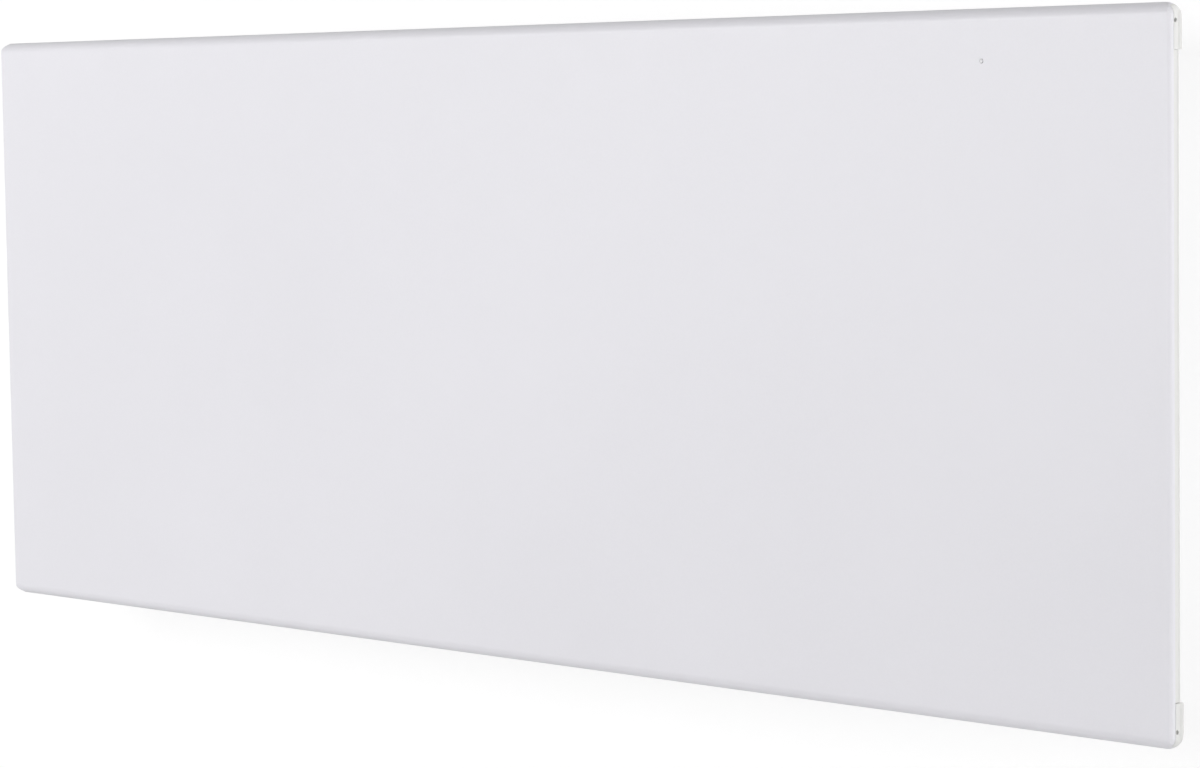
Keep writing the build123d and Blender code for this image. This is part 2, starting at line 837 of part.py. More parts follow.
def rocker():
    """Rocker of the switch, resting with its upper half pressed in."""
    half = rocker_length / 2
    foot = rocker_root_length / 2
    width = switch_width - 2 * switch_wall - 2 * rocker_gap
    with BuildSketch(Plane.XZ) as section:
        with BuildLine():
            Polyline((-rocker_root, -foot), (-rocker_root, foot), (0, half), (rocker_top, half),
                     (rocker_top - rocker_dip, 0), (rocker_top, -half), (0, -half), (-rocker_root, -foot))
        make_face()
    paddle = extrude(section.sketch, amount=width / 2, both=True)
    trunnion = rod((0, -width / 2 - switch_wall / 2, 0), (0, 1, 0), width + switch_wall, trunnion_radius)
    return Pos(pivot_x, -switch_depth, switch_up) * Rot(0, -rocker_angle, 0) * (paddle + trunnion)


# Cord gland and terminals
def gland_axis(x):
    """The point of the gland's axis at a place along the heater."""
    return (x, -gland_depth, gland_height)


def gland_body():
    """Threaded gland through the cheek, with a hexagon outside and a neck for its cap."""
    inner = tray_side - gland_thread_length
    length = gland_thread_length + case_sheet
    body = rod(gland_axis(inner), (1, 0, 0), length, gland_thread_radius)
    body += hexagon(gland_axis(case_side), (1, 0, 0), gland_hex_length, gland_hex)
    body += rod(gland_axis(case_side + gland_hex_length), (1, 0, 0), gland_neck_length, gland_neck_radius)
    return body - rod(gland_axis(inner - 1), (1, 0, 0), 2 * gland_thread_length + 20, gland_bore)


def gland_cap():
    """Domed nut that squeezes the cord."""
    start = case_side + gland_hex_length + moulding_gap
    cap = rod(gland_axis(start), (1, 0, 0), gland_cap_length, gland_cap_radius)
    cap = fillet(cap.edges().sort_by(Axis.X)[-1], gland_cap_radius / 3)
    deep = gland_neck_length - moulding_gap + gland_cap_wall
    cap -= rod(gland_axis(start - 1), (1, 0, 0), 1 + deep, gland_neck_radius + moulding_gap)
    return cap - rod(gland_axis(start), (1, 0, 0), gland_cap_length + 1, gland_bore)


def gland_nut():
    """Lock nut on the inside of the cheek."""
    nut = hexagon(gland_axis(tray_side), (-1, 0, 0), gland_nut_length, gland_hex)
    return nut - rod(gland_axis(tray_side + 1), (-1, 0, 0), gland_nut_length + 2, gland_thread_radius)


def gland_hole():
    """The hole of the gland in the cheek."""
    return rod(gland_axis(tray_side - 1), (1, 0, 0), case_sheet + 2, gland_thread_radius + moulding_gap)


def terminal_block():
    """Block of three terminals on the tray, with a screw hole over each."""
    front = tray_inside - terminal_width
    block_solid = block((terminal_left, terminal_right), (front, tray_inside), (terminal_base, terminal_top))
    for step in (-1, 0, 1):
        x = (terminal_left + terminal_right) / 2 + step * terminal_length / 3
        block_solid -= rod((x, front, gland_height), (0, 1, 0), terminal_width / 2, terminal_screw_radius)
    return block_solid


def earth_stud():
    """Stud on the tray with its nut."""
    start = (stud_side, tray_inside, gland_height)
    stud = rod(start, (0, -1, 0), stud_length, stud_radius)
    seat = (stud_side, tray_inside - stud_nut_thickness, gland_height)
    return stud + hexagon(seat, (0, -1, 0), stud_nut_thickness, stud_nut)


# Room sensor
sensor_x = case_side - sensor_from_side
sensor_z = -tray_end + sensor_clip_wall + sensor_radius


def sensor_clip():
    """Moulded saddle on the lower grille, open at the top, that holds the sensor."""
    half = sensor_radius + sensor_clip_wall
    saddle = block((sensor_x - sensor_length / 4, sensor_x + sensor_length / 4),
                   (-sensor_depth - half, -sensor_depth + half), (-tray_end, sensor_z + sensor_radius / 2))
    return saddle - rod((sensor_x - sensor_length, -sensor_depth, sensor_z), (1, 0, 0), 2 * sensor_length,
                        sensor_radius)


def room_sensor():
    """Small round temperature sensor."""
    bead = rod((sensor_x - sensor_length / 2, -sensor_depth, sensor_z), (1, 0, 0), sensor_length, sensor_radius)
    return fillet(bead.edges().sort_by(Axis.X)[0], sensor_radius / 2)


# Inner wires
def wire(points, bend=wire_bend):
    """Round wire along straight runs with rounded corners."""
    path = FilletPolyline(*points, radius=bend) if len(points) > 2 else Line(*points)
    return sweep(Plane(origin=path @ 0, z_dir=path % 0) * Circle(wire_radius), path=path)


def wire_neutral():
    """From the element's left pin along the bottom of the tray to the lower board."""
    x, y, z = on_element(profile_start - rod_end - pin_length)
    corner = x - 1.5 * wire_bend
    lane_y, lane_z = neutral_lane
    column, column_y = housing_wire_holes[0]
    return wire([(x, y, z), (corner, y, z), (corner, y, lane_z), (corner, lane_y, lane_z),
                 (column, lane_y, lane_z), (column, lane_y, housing_base - 3 * wire_bend),
                 (column, column_y, housing_base - wire_bend), (column, column_y, power_board_top - board_thickness)],
                wire_bend / 1.5)


def wire_element():
    """From the element's right pin through the partition to the lower board."""
    x, y, z = on_element(profile_finish + rod_end + pin_length)
    column, column_y = housing_wire_holes[1]
    return wire([(x, y, z), (column, column_y, z), (column, column_y, power_board_top - board_thickness)])


def wires_supply():
    """Terminals to the mains switch, switch to the lower board, and the earth from its stud to the terminals."""
    tab = case_side - switch_length - switch_tab
    tab_low = switch_up - switch_height / 4
    tab_high = switch_up + switch_height / 4
    block_x = (terminal_left + terminal_right) / 2
    block_y = tray_inside - terminal_width / 2
    low_wire = wire([(block_x, block_y, terminal_top), (block_x, block_y, tab_low - 3 * wire_bend),
                     (block_x, -switch_depth, tab_low), (tab, -switch_depth, tab_low)], wire_bend / 1.5)
    column, column_y = housing_wire_holes[3]
    high_wire = wire([(tab, -switch_depth, tab_high), (column, column_y, tab_high),
                      (column, column_y, power_board_top - board_thickness)])
    earth = wire([(stud_side + stud_nut, block_y, gland_height), (terminal_left, block_y, gland_height)])
    return [low_wire, high_wire, earth]


def sensor_lead():
    """From the room sensor up to the lower board."""
    x = sensor_x + sensor_length / 2
    column, column_y = housing_wire_holes[2]
    return wire([(x, -sensor_depth, sensor_z), (x + 1.5 * wire_bend, -sensor_depth, sensor_z),
                 (x + 1.5 * wire_bend, -sensor_depth, sensor_z + 4 * wire_bend),
                 (column, column_y, sensor_z + 8 * wire_bend),
                 (column, column_y, power_board_top - board_thickness)], wire_bend / 1.5)


# Wall bracket
def wall_bracket():
    """Pressed plate on the wall: two uprights, three crossbars with folded lips, and four screw holes."""
    half = bracket_width / 2
    skin = (-bracket_sheet, 0)
    plate = block((-half, half), skin, (bracket_base, bracket_top))
    inner = upright_spacing / 2 - upright_width / 2
    bars = [(-crossbar_drop, 1), (0, 0), (crossbar_rise, -1)]
    for lower, upper in zip(bars[:-1], bars[1:]):
        rows = (lower[0] + crossbar_height / 2, upper[0] - crossbar_height / 2)
        plate -= block((-inner, inner), (-2 * bracket_sheet, 1), rows)
    for level, _ in bars:
        for side in (-1, 1):
            edge = level + side * crossbar_height / 2
            lip = sorted((edge, edge - side * bracket_sheet))
            plate += block((-inner, inner), (-bracket_lip, 0), lip)
    for x in hook_sides:
        for z in (-wall_hole_rise, wall_hole_rise):
            plate -= rod((x, -bracket_lip, z), (0, 1, 0), 2 * bracket_lip, wall_hole_radius)
    return plate


def hook_arm(x):
    """Plate that stands out of the bracket and ends in an open hook round the pin."""
    outer = hook_radius + hook_wall
    half = hook_thickness / 2
    wall = -bracket_sheet
    with BuildSketch(Plane.YZ.offset(x - half)) as section:
        with BuildLine():
            Polyline((wall, pin_axis_z - hook_arm_height / 2), (wall, pin_axis_z + hook_arm_height / 2),
                     (pin_axis_y + hook_radius, pin_axis_z + hook_horn + hook_wall),
                     (pin_axis_y - outer, pin_axis_z + hook_horn), (pin_axis_y - outer, pin_axis_z),
                     (pin_axis_y, pin_axis_z - outer), (wall, pin_axis_z - hook_arm_height / 2))
        make_face()
        with Locations((pin_axis_y, pin_axis_z)):
            Circle(outer)
        with Locations((pin_axis_y, pin_axis_z)):
            Circle(hook_radius, mode=Mode.SUBTRACT)
        with Locations((pin_axis_y, pin_axis_z + hook_arm_height / 2)):
            Rectangle(2 * hook_radius, hook_arm_height, mode=Mode.SUBTRACT)
    return extrude(section.sketch, amount=hook_thickness)


def support_bracket(x):
    """U of sheet on the casing's back whose two lugs carry the pin, one each side of the hook."""
    rows = (pin_axis_z - lug_height / 2, pin_axis_z + lug_height / 2)
    outside = lug_gap / 2 + lug_sheet
    web = block((x - outside, x + outside), (case_back, case_back + lug_sheet / 2), rows)
    solid = web
    for side in (-1, 1):
        inner = x + side * lug_gap / 2
        start = min(inner, inner + side * lug_sheet)
        arm = block((start, start + lug_sheet), (case_back, pin_axis_y),
                    (pin_axis_z - lug_round, pin_axis_z + lug_round))
        arm += rod((start, pin_axis_y, pin_axis_z), (1, 0, 0), lug_sheet, lug_round)
        solid += arm
    bore = support_pin_radius + support_pin_bore_fit
    return solid - rod((x - outside - 1, pin_axis_y, pin_axis_z), (1, 0, 0), 2 * outside + 2, bore)


def support_pin(x):
    """Round pin that hangs in the hook."""
    return rod((x - support_pin_length / 2, pin_axis_y, pin_axis_z), (1, 0, 0), support_pin_length,
               support_pin_radius)


def clip_blade(x):
    """Blade on the casing's back that slides between the leaves of a spring clip."""
    half = blade_sheet / 2
    rows = (blade_rise - blade_height / 2, blade_rise + blade_height / 2)
    blade = block((x - half, x + half), (case_back, case_back + blade_reach), rows)
    blade += block((x - half, x + blade_height / 2), (case_back, case_back + blade_sheet / 2), rows)
    nose = blade.edges().filter_by(Axis.X).sort_by(Axis.Y)[-2:]
    return fillet(nose, blade_sheet)


def spring_clip(x):
    """Sprung U on the bracket: two leaves that grip the blade from both sides, flared at their ends."""
    inner = blade_sheet / 2 + clip_clearance
    outer = inner + clip_leaf
    rows = (blade_rise - clip_height / 2, blade_rise + clip_height / 2)
    base = -bracket_sheet
    reach = base - clip_reach
    clip = block((x - outer, x + outer), (base - clip_leaf, base), rows)
    for side in (-1, 1):
        leaf = sorted((x + side * inner, x + side * outer))
        clip += block(leaf, (reach, base), rows)
        with BuildSketch(Plane.XY.offset(rows[0])) as flare:
            with BuildLine():
                Polyline((x + side * inner, reach), (x + side * outer, reach),
                         (x + side * (outer + clip_flare), reach - clip_flare),
                         (x + side * (inner + clip_flare), reach - clip_flare), (x + side * inner, reach))
            make_face()
        clip += extrude(flare.sketch, amount=clip_height)
    return clip


def stop_buffer(x):
    """Rubber stop on the bracket that the casing's back leans on."""
    length = bracket_gap - bracket_sheet - buffer_clearance
    stop = rod((x, -bracket_sheet, buffer_rise), (0, -1, 0), length, buffer_radius)
    return fillet(stop.edges().sort_by(Axis.Y)[0], buffer_radius / 4)


buffer_sides = [-buffer_reach, buffer_reach]
cap = corner_cap()
cap_low = mirror(cap, about=Plane.XY)
rail = side_rail()
channel = stiffener()
nodes = {
    "front_panel": front_panel(),
    "corner_cap_top_right": cap,
    "corner_cap_top_left": mirrored(cap),
    "corner_cap_bottom_right": cap_low,
    "corner_cap_bottom_left": mirrored(cap_low),
    "side_rail_right": rail,
    "side_rail_left": mirrored(rail),
    "stiffener_right": channel,
    "stiffener_left": mirrored(channel),
    "indicator_lens": indicator_lens(),
    "rear_casing": rear_casing(),
    "cheek_left": cheek(-1, []),
    "cheek_right": cheek(1, [switch_hole(), gland_hole()]),
    "outlet_grille": outlet_grille(),
    "inlet_grille": inlet_grille(),
    "partition": partition(),
    "reflector": reflector(),
    "front_shield": front_shield(),
    "element_profile": element_profile(),
    "heating_rod": heating_rod(),
    "cold_pins": cold_pins(),
    "bush_left": bush(bush_left_seat, -1),
    "bush_right": bush(bush_right_seat, 1),
    "element_bracket_left": element_bracket(bush_left_seat, -1),
    "element_bracket_right": element_bracket(bush_right_seat, 1),
    "overheat_cutout": overheat_cutout(),
    "cutout_clip": cutout_clip(),
    "control_housing": control_housing(),
    "control_cover": control_cover(),
    "display_window": display_window(),
    "display_module": display_module(),
    "control_board": control_board(),
    "indicator_led": indicator_led(),
    "power_board": power_board(),
    "relay": relay(),
    "tact_switches": [tact_switch(x) for x in button_places],
    "button_minus": button(button_places[0]),
    "button_mode": button(button_places[1]),
    "button_plus": button(button_places[2]),
    "rocker_body": rocker_body(),
    "rocker": rocker(),
    "gland_body": gland_body(),
    "gland_cap": gland_cap(),
    "gland_nut": gland_nut(),
    "terminal_block": terminal_block(),
    "earth_stud": earth_stud(),
    "room_sensor": room_sensor(),
    "sensor_clip": sensor_clip(),
    "sensor_lead": sensor_lead(),
    "wire_neutral": wire_neutral(),
    "wire_element": wire_element(),
    "wires_supply": wires_supply(),
    "casing_screws": casing_screws(),
    "support_brackets": [support_bracket(x) for x in hook_sides],
    "support_pins": [support_pin(x) for x in hook_sides],
    "clip_blades": [clip_blade(x) for x in hook_sides],
    "wall_bracket": wall_bracket(),
    "hook_arms": [hook_arm(x) for x in hook_sides],
    "spring_clips": [spring_clip(x) for x in hook_sides],
    "stop_buffers": [stop_buffer(x) for x in buffer_sides],
}

os.makedirs("parts", exist_ok=True)
for name, shape in nodes.items():
    solid = Compound(children=shape) if isinstance(shape, list) else shape
    solid.label = name
    export_step(solid, "parts/" + name + ".step")
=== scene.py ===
# %% [markdown]
# A flat convector heater that hangs on a wall, dressed as the real one is finished.
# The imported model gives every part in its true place, in metres. X runs along the wall to the right,
# Y runs into the wall and Z runs up. This lesson adds the finishes, and remakes the pieces whose edges
# or small shapes a plain solid doesn't have.

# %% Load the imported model
import bmesh
import bpy
import json
import math
from mathutils import Euler, Matrix, Vector


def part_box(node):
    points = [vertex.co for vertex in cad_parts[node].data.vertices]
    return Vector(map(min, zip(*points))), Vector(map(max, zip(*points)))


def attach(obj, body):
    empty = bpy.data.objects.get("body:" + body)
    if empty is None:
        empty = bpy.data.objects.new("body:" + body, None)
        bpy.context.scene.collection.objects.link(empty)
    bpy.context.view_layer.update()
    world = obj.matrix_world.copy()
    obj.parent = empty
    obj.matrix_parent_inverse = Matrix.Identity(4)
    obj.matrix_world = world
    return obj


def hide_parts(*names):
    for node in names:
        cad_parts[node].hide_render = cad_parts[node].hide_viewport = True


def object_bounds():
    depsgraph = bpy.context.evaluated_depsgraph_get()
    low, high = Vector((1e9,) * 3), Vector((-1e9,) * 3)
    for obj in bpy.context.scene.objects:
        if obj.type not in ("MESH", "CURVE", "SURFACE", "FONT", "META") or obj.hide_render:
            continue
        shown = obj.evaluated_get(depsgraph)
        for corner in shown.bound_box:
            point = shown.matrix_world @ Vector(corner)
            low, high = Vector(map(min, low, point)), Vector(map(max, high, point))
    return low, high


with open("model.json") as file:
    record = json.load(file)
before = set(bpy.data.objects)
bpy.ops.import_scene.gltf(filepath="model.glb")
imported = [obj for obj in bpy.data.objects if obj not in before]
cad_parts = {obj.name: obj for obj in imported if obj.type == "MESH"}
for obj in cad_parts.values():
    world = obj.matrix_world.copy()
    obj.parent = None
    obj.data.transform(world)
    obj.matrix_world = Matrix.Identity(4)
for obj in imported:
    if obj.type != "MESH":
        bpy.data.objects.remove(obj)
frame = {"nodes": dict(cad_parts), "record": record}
nodes = frame["nodes"]
solid_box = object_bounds()
for plain in list(bpy.data.materials):
    bpy.data.materials.remove(plain)
print("parts", len(nodes), "box", [tuple(round(value, 4) for value in corner) for corner in solid_box])

# %% [markdown]
# Most finishes here are a colour, a roughness and a bump that change a little over the surface.
# Writing them as sums is easier to read than wiring boxes, so one small class wraps a socket and turns
# Python's own operators into Math nodes. Every other node comes from one method of the material.

# %% A socket that can be added and multiplied
class Value:
    """A number that changes over the surface."""

    def __init__(self, paint, socket):
        self.paint = paint
        self.socket = socket

    def maths(self, operation, *others):
        """This value and others through one Math node."""
        inputs = dict(enumerate((self,) + others))
        return self.paint.node("ShaderNodeMath", {"operation": operation}, inputs)

    def __add__(self, other):
        return self.maths("ADD", other)

    def __mul__(self, other):
        return self.maths("MULTIPLY", other)

    def __rsub__(self, other):
        return self.paint.node("ShaderNodeMath", {"operation": "SUBTRACT"}, {0: other, 1: self})

    __radd__ = __add__
    __rmul__ = __mul__

    def ramp(self, low, high):
        """This value moved smoothly from a span of numbers to the span from nought to one."""
        return self.paint.node("ShaderNodeMapRange", {"interpolation_type": "SMOOTHSTEP"},
                               {"Value": self, "From Min": low, "From Max": high})


# %% A finish, which is a material with its Principled shader ready
finishes = {}


class Finish:
    """A material that builds its own nodes."""

    def __init__(self, name, **constants):
        self.material = bpy.data.materials.new(name)
        finishes[name] = self.material
        self.material.use_nodes = True
        self.tree = self.material.node_tree
        self.shader = self.tree.nodes["Principled BSDF"]
        for socket, number in constants.items():
            self.shader.inputs[socket.replace("_", " ")].default_value = number
        self.place = self.node("ShaderNodeTexCoord", {}, {}, "Object")

    def node(self, kind, settings, inputs, output=0):
        """One node: its settings first, then values or links for its sockets."""
        made = self.tree.nodes.new(kind)
        for name, setting in settings.items():
            if name == "stops":
                self.set_stops(made.color_ramp, setting)
            else:
                setattr(made, name, setting)
        for name, given in inputs.items():
            if isinstance(given, Value):
                self.tree.links.new(given.socket, made.inputs[name])
            else:
                made.inputs[name].default_value = given
        return Value(self, made.outputs[output])

    def set_stops(self, ramp, stops):
        """The colours of a ramp, as pairs of place and colour."""
        while len(ramp.elements) < len(stops):
            ramp.elements.new(1.0)
        for element, (place, colour) in zip(ramp.elements, stops):
            element.position = place
            element.color = (*colour, 1.0)

    def stretched(self, stretch):
        """The place on the object in metres, stretched along its axes."""
        return self.node("ShaderNodeMapping", {}, {"Vector": self.place, "Scale": stretch})

    def noise(self, scale, detail=2.0, roughness=0.5, stretch=(1, 1, 1)):
        """Noise on the object, about nought to one; scale is in marks per metre."""
        return self.node("ShaderNodeTexNoise", {}, {"Vector": self.stretched(stretch), "Scale": scale,
                                                    "Detail": detail, "Roughness": roughness})

    def cells(self, scale, output="Distance", stretch=(1, 1, 1)):
        """Voronoi cells on the object; scale is in cells per metre."""
        inputs = {"Vector": self.stretched(stretch), "Scale": scale}
        return self.node("ShaderNodeTexVoronoi", {}, inputs, output)

    def blend(self, amount, first, second):
        """A colour between two, by an amount from nought to one."""
        first_colour, second_colour, mixed_colour = 6, 7, 2
        return self.node("ShaderNodeMix", {"data_type": "RGBA"},
                         {0: amount, first_colour: self.colour(first), second_colour: self.colour(second)},
                         mixed_colour)

    def colour(self, given):
        """A colour with its alpha, or a link left as it is."""
        return given if isinstance(given, Value) else (*given, 1.0)

    def set(self, **links):
        """Links or numbers for the shader's own sockets."""
        for name, given in links.items():
            socket = self.shader.inputs[name.replace("_", " ")]
            if isinstance(given, Value):
                self.tree.links.new(given.socket, socket)
            else:
                socket.default_value = given
        return self

    def bump(self, height, distance, strength=1.0):
        """A height in nought to one turned into a relief of a depth in metres."""
        normal = self.node("ShaderNodeBump", {},
                           {"Height": height, "Distance": distance, "Strength": strength})
        return self.set(Normal=normal)

    def show(self, shader):
        """The material, showing another shader than its own."""
        self.tree.links.new(shader.socket, self.tree.nodes["Material Output"].inputs["Surface"])
        return self.material


# %% [markdown]
# The front is a pressed steel sheet with a baked powder coat. Such a coat is not flat: it flows into a
# soft orange peel a few millimetres across, and its tone drifts a little over a large panel.
# The real white leans slightly to violet, which the base colour keeps.

# %% White powder coat
def toned(colour, share):
    """A colour made darker or lighter by a share."""
    return tuple(share * part for part in colour)


def powder_coat(name, colour, peel=1.0):
    """Satin powder coat with a fine orange peel."""
    coat = Finish(name, Specular_IOR_Level=0.5)
    drift = coat.noise(3.5, 3.0)
    grain = coat.noise(900.0, 2.0)
    tone = 0.75 * drift + 0.25 * grain
    coat.set(Base_Color=coat.blend(tone.ramp(0.35, 0.65), toned(colour, 0.982), toned(colour, 1.008)))
    coat.set(Roughness=0.36 + 0.12 * drift)
    coat.bump(0.7 * coat.noise(260.0, 2.0) + 0.3 * coat.noise(760.0, 1.0), 0.00005 * peel, 0.6)
    return coat.material


panel_paint = powder_coat("panel_paint", (0.815, 0.807, 0.848))
case_paint = powder_coat("case_paint", (0.80, 0.80, 0.815), 1.6)
print("powder coats", panel_paint.name, case_paint.name)

# %% [markdown]
# The ends of the panel are injection moulded in white. The mould is spark eroded, so the plastic has a
# fine even grain and no gloss, and it is a little yellower than the paint beside it.

# %% Moulded plastics
def moulding(name, colour, roughness=0.5, grain=0.00003):
    """Moulded plastic with a spark-eroded grain."""
    plastic = Finish(name, Specular_IOR_Level=0.45)
    fine = plastic.noise(1600.0, 2.0)
    flow = plastic.noise(22.0, 2.0, stretch=(1, 1, 0.3))
    tone = (0.6 * flow + 0.4 * fine).ramp(0.3, 0.7)
    plastic.set(Base_Color=plastic.blend(tone, toned(colour, 0.955), colour))
    plastic.set(Roughness=roughness - 0.06 + 0.12 * fine)
    plastic.bump(fine, grain, 0.7)
    return plastic.material


white_moulding = moulding("white_moulding", (0.80, 0.80, 0.785))
black_moulding = moulding("black_moulding", (0.022, 0.022, 0.024), 0.46)
button_plastic = moulding("button_plastic", (0.52, 0.53, 0.55), 0.42)
mark_print = moulding("mark_print", (0.10, 0.10, 0.11), 0.5, 0.00001)
print("mouldings", [item.name for item in (white_moulding, black_moulding, button_plastic, mark_print)])

# %% [markdown]
# Inner sheets and the wall bracket are galvanised. Zinc freezes on the steel in flat crystals, the
# spangle, each a slightly different grey, with fine rolling lines under them. Voronoi cells give the
# crystals, and their random colour gives each one its own grey and its own roughness.

# %% Galvanised sheet
def galvanised_sheet(name, dark, light, size):
    """Zinc spangle; size is in crystals per metre."""
    zinc = Finish(name, Metallic=1.0)
    crystal = zinc.cells(size, "Color")
    own = zinc.node("ShaderNodeSeparateColor", {}, {"Color": crystal}, "Red")
    other = zinc.node("ShaderNodeSeparateColor", {}, {"Color": crystal}, "Green")
    frost = zinc.noise(size * 5.0, 3.0)
    zinc.set(Base_Color=zinc.blend((0.7 * own + 0.3 * frost).ramp(0.1, 0.9), dark, light))
    zinc.set(Roughness=0.34 + 0.16 * other + 0.08 * frost)
    zinc.bump(0.6 * own + 0.4 * zinc.noise(1400.0, 1.0, stretch=(1, 1, 0.04)), 0.00002, 0.5)
    return zinc.material


galvanised = galvanised_sheet("galvanised", (0.55, 0.565, 0.58), (0.66, 0.675, 0.69), 170.0)
print("galvanised sheet", galvanised.name)

# %% [markdown]
# Bare metals differ by how they were made. An extrusion carries drawn lines along its length, a turned
# or rolled fastener is bright zinc, spring strip is darker, and the sheath of the heating rod goes
# straw and blue where it runs hot.

# %% Bare metals
def drawn_metal(name, dark, light, roughness, stretch, scale=500.0):
    """Metal with fine lines along one direction."""
    metal = Finish(name, Metallic=1.0)
    lines = metal.noise(scale, 3.0, 0.6, stretch)
    cloud = metal.noise(30.0, 2.0)
    metal.set(Base_Color=metal.blend((0.6 * lines + 0.4 * cloud).ramp(0.25, 0.75), dark, light))
    metal.set(Roughness=roughness - 0.07 + 0.16 * lines)
    metal.bump(lines, 0.00002, 0.4)
    return metal.material


element_alloy = drawn_metal("element_alloy", (0.60, 0.61, 0.62), (0.78, 0.79, 0.80), 0.36, (0.02, 1, 1))
steel_fastener = drawn_metal("steel_fastener", (0.58, 0.59, 0.60), (0.76, 0.77, 0.78), 0.26, (1, 1, 1), 900.0)
spring_steel = drawn_metal("spring_steel", (0.34, 0.34, 0.36), (0.50, 0.50, 0.53), 0.30, (1, 1, 0.03))
brass_metal = drawn_metal("brass_metal", (0.62, 0.46, 0.20), (0.80, 0.63, 0.34), 0.28, (1, 0.1, 1))


def heated_rod():
    """Steel sheath with heat tints that drift along it."""
    steel = Finish("rod_steel", Metallic=1.0)
    heat = steel.noise(14.0, 3.0, stretch=(1, 0.2, 0.2)).ramp(0.3, 0.7)
    tints = [(0.0, (0.46, 0.45, 0.43)), (0.45, (0.50, 0.40, 0.24)), (0.75, (0.34, 0.24, 0.22)),
             (1.0, (0.22, 0.26, 0.36))]
    tint = steel.node("ShaderNodeValToRGB", {"stops": tints}, {"Fac": heat})
    steel.set(Base_Color=tint, Roughness=0.32 + 0.14 * steel.noise(700.0, 2.0, stretch=(0.05, 1, 1)))
    return steel.material


rod_steel = heated_rod()
print("metals", [item.name for item in (element_alloy, steel_fastener, spring_steel, brass_metal, rod_steel)])

# %% [markdown]
# The rest are small finishes: glazed ceramic, soft rubber, insulated wire, green board, the smoked
# window of the display, and the pale light pipe that shows as a faint dot on the front.

# %% Ceramic, rubber and wire
def ceramic_body():
    """Fired ceramic with faint specks under a thin glaze."""
    ware = Finish("white_ceramic", Roughness=0.3, Coat_Weight=0.4, Coat_Roughness=0.12)
    specks = ware.noise(2600.0, 1.0).ramp(0.62, 0.72)
    ware.set(Base_Color=ware.blend(specks, (0.82, 0.80, 0.75), (0.66, 0.62, 0.55)))
    ware.bump(ware.noise(500.0, 2.0), 0.00003, 0.5)
    return ware.material


def soft_rubber():
    """Black rubber with a dusty bloom."""
    rubber = Finish("buffer_rubber", Specular_IOR_Level=0.35)
    bloom = rubber.noise(60.0, 3.0)
    rubber.set(Base_Color=rubber.blend(bloom.ramp(0.35, 0.7), (0.020, 0.020, 0.021), (0.055, 0.054, 0.053)))
    rubber.set(Roughness=0.66 + 0.18 * bloom)
    rubber.bump(rubber.noise(1800.0, 2.0), 0.00004, 0.6)
    return rubber.material


def insulation(name, colour):
    """Extruded wire insulation."""
    wire = Finish(name, Specular_IOR_Level=0.45)
    flow = wire.noise(160.0, 2.0)
    wire.set(Base_Color=wire.blend(flow.ramp(0.3, 0.7), toned(colour, 0.86), colour))
    wire.set(Roughness=0.36 + 0.10 * flow)
    wire.bump(flow, 0.00003, 0.4)
    return wire.material


white_ceramic = ceramic_body()
buffer_rubber = soft_rubber()
wires = [
    insulation("red_wire", (0.24, 0.075, 0.03)),
    insulation("blue_wire", (0.03, 0.12, 0.42)),
    insulation("grey_wire", (0.35, 0.35, 0.36)),
]
print("small finishes", white_ceramic.name, buffer_rubber.name, [wire.name for wire in wires])


# %% Board, window and light pipe
def green_board():
    """Solder mask over copper tracks, which show as paler lines."""
    board = Finish("circuit_board", Roughness=0.32)
    tracks = board.cells(420.0, "Distance", (1, 1, 0.2)).ramp(0.30, 0.36)
    board.set(Base_Color=board.blend(tracks, (0.02, 0.12, 0.05), (0.05, 0.22, 0.09)))
    board.bump(tracks, 0.00003, 0.6)
    return board.material


def smoked_clear():
    """Dark clear moulding over the display."""
    window = Finish("smoked_window", Transmission_Weight=0.85, IOR=1.49)
    haze = window.noise(40.0, 2.0)
    window.set(Base_Color=window.blend(haze, (0.30, 0.31, 0.33), (0.34, 0.35, 0.37)))
    window.set(Roughness=0.04 + 0.05 * haze)
    return window.material


def unlit_pipe():
    """Unlit light pipe, which hardly shows in the white front."""
    pipe = Finish("light_pipe", Coat_Weight=0.6, Coat_Roughness=0.08, IOR=1.49)
    depth = pipe.noise(1500.0, 1.0)
    pipe.set(Base_Color=pipe.blend(depth, (0.50, 0.50, 0.52), (0.58, 0.58, 0.60)))
    pipe.set(Roughness=0.2 + 0.1 * depth)
    return pipe.material


def lit_segment():
    """Lit bar of a digit."""
    bar = Finish("lit_segment", Emission_Strength=1.6)
    spread = bar.noise(900.0, 1.0)
    bar.set(Base_Color=bar.blend(spread, (0.55, 0.60, 0.62), (0.70, 0.75, 0.78)))
    bar.set(Emission_Color=bar.blend(spread, (0.75, 0.90, 0.95), (0.85, 0.97, 1.0)), Roughness=0.4)
    return bar.material


circuit_board = green_board()
smoked_window = smoked_clear()
light_pipe = unlit_pipe()
lit_bar = lit_segment()
print("board, window, pipe and digits", circuit_board.name, smoked_window.name, light_pipe.name, lit_bar.name)

# %% [markdown]
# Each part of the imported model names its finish, so the materials are handed out by that name. A part
# whose shape is already right keeps its own mesh and only takes the material.

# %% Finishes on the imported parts
slot_of = {part["node"]: part["material_slot"] for part in frame["record"]["subparts"]}
body_of = {node: body for body, members in frame["record"]["behaviour"]["bodies"].items() for node in members}


def put_on(piece, material):
    """The only material of a piece."""
    piece.data.materials.clear()
    piece.data.materials.append(material)


for name, node in nodes.items():
    put_on(node, finishes[slot_of[name]])
print("dressed", len(nodes))

# %% [markdown]
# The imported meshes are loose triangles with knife-sharp edges. Real sheet has a small radius where it
# was cut or folded, and a moulding has one everywhere, and that is what catches the light.
# So a copy of such a part is merged, its flat faces are joined again, and its edges are bevelled.
# The copy then stands for the part. A Weighted Normal modifier keeps the large faces flat in the light,
# because smooth shading would otherwise let a small bevel tilt the light on a whole panel.

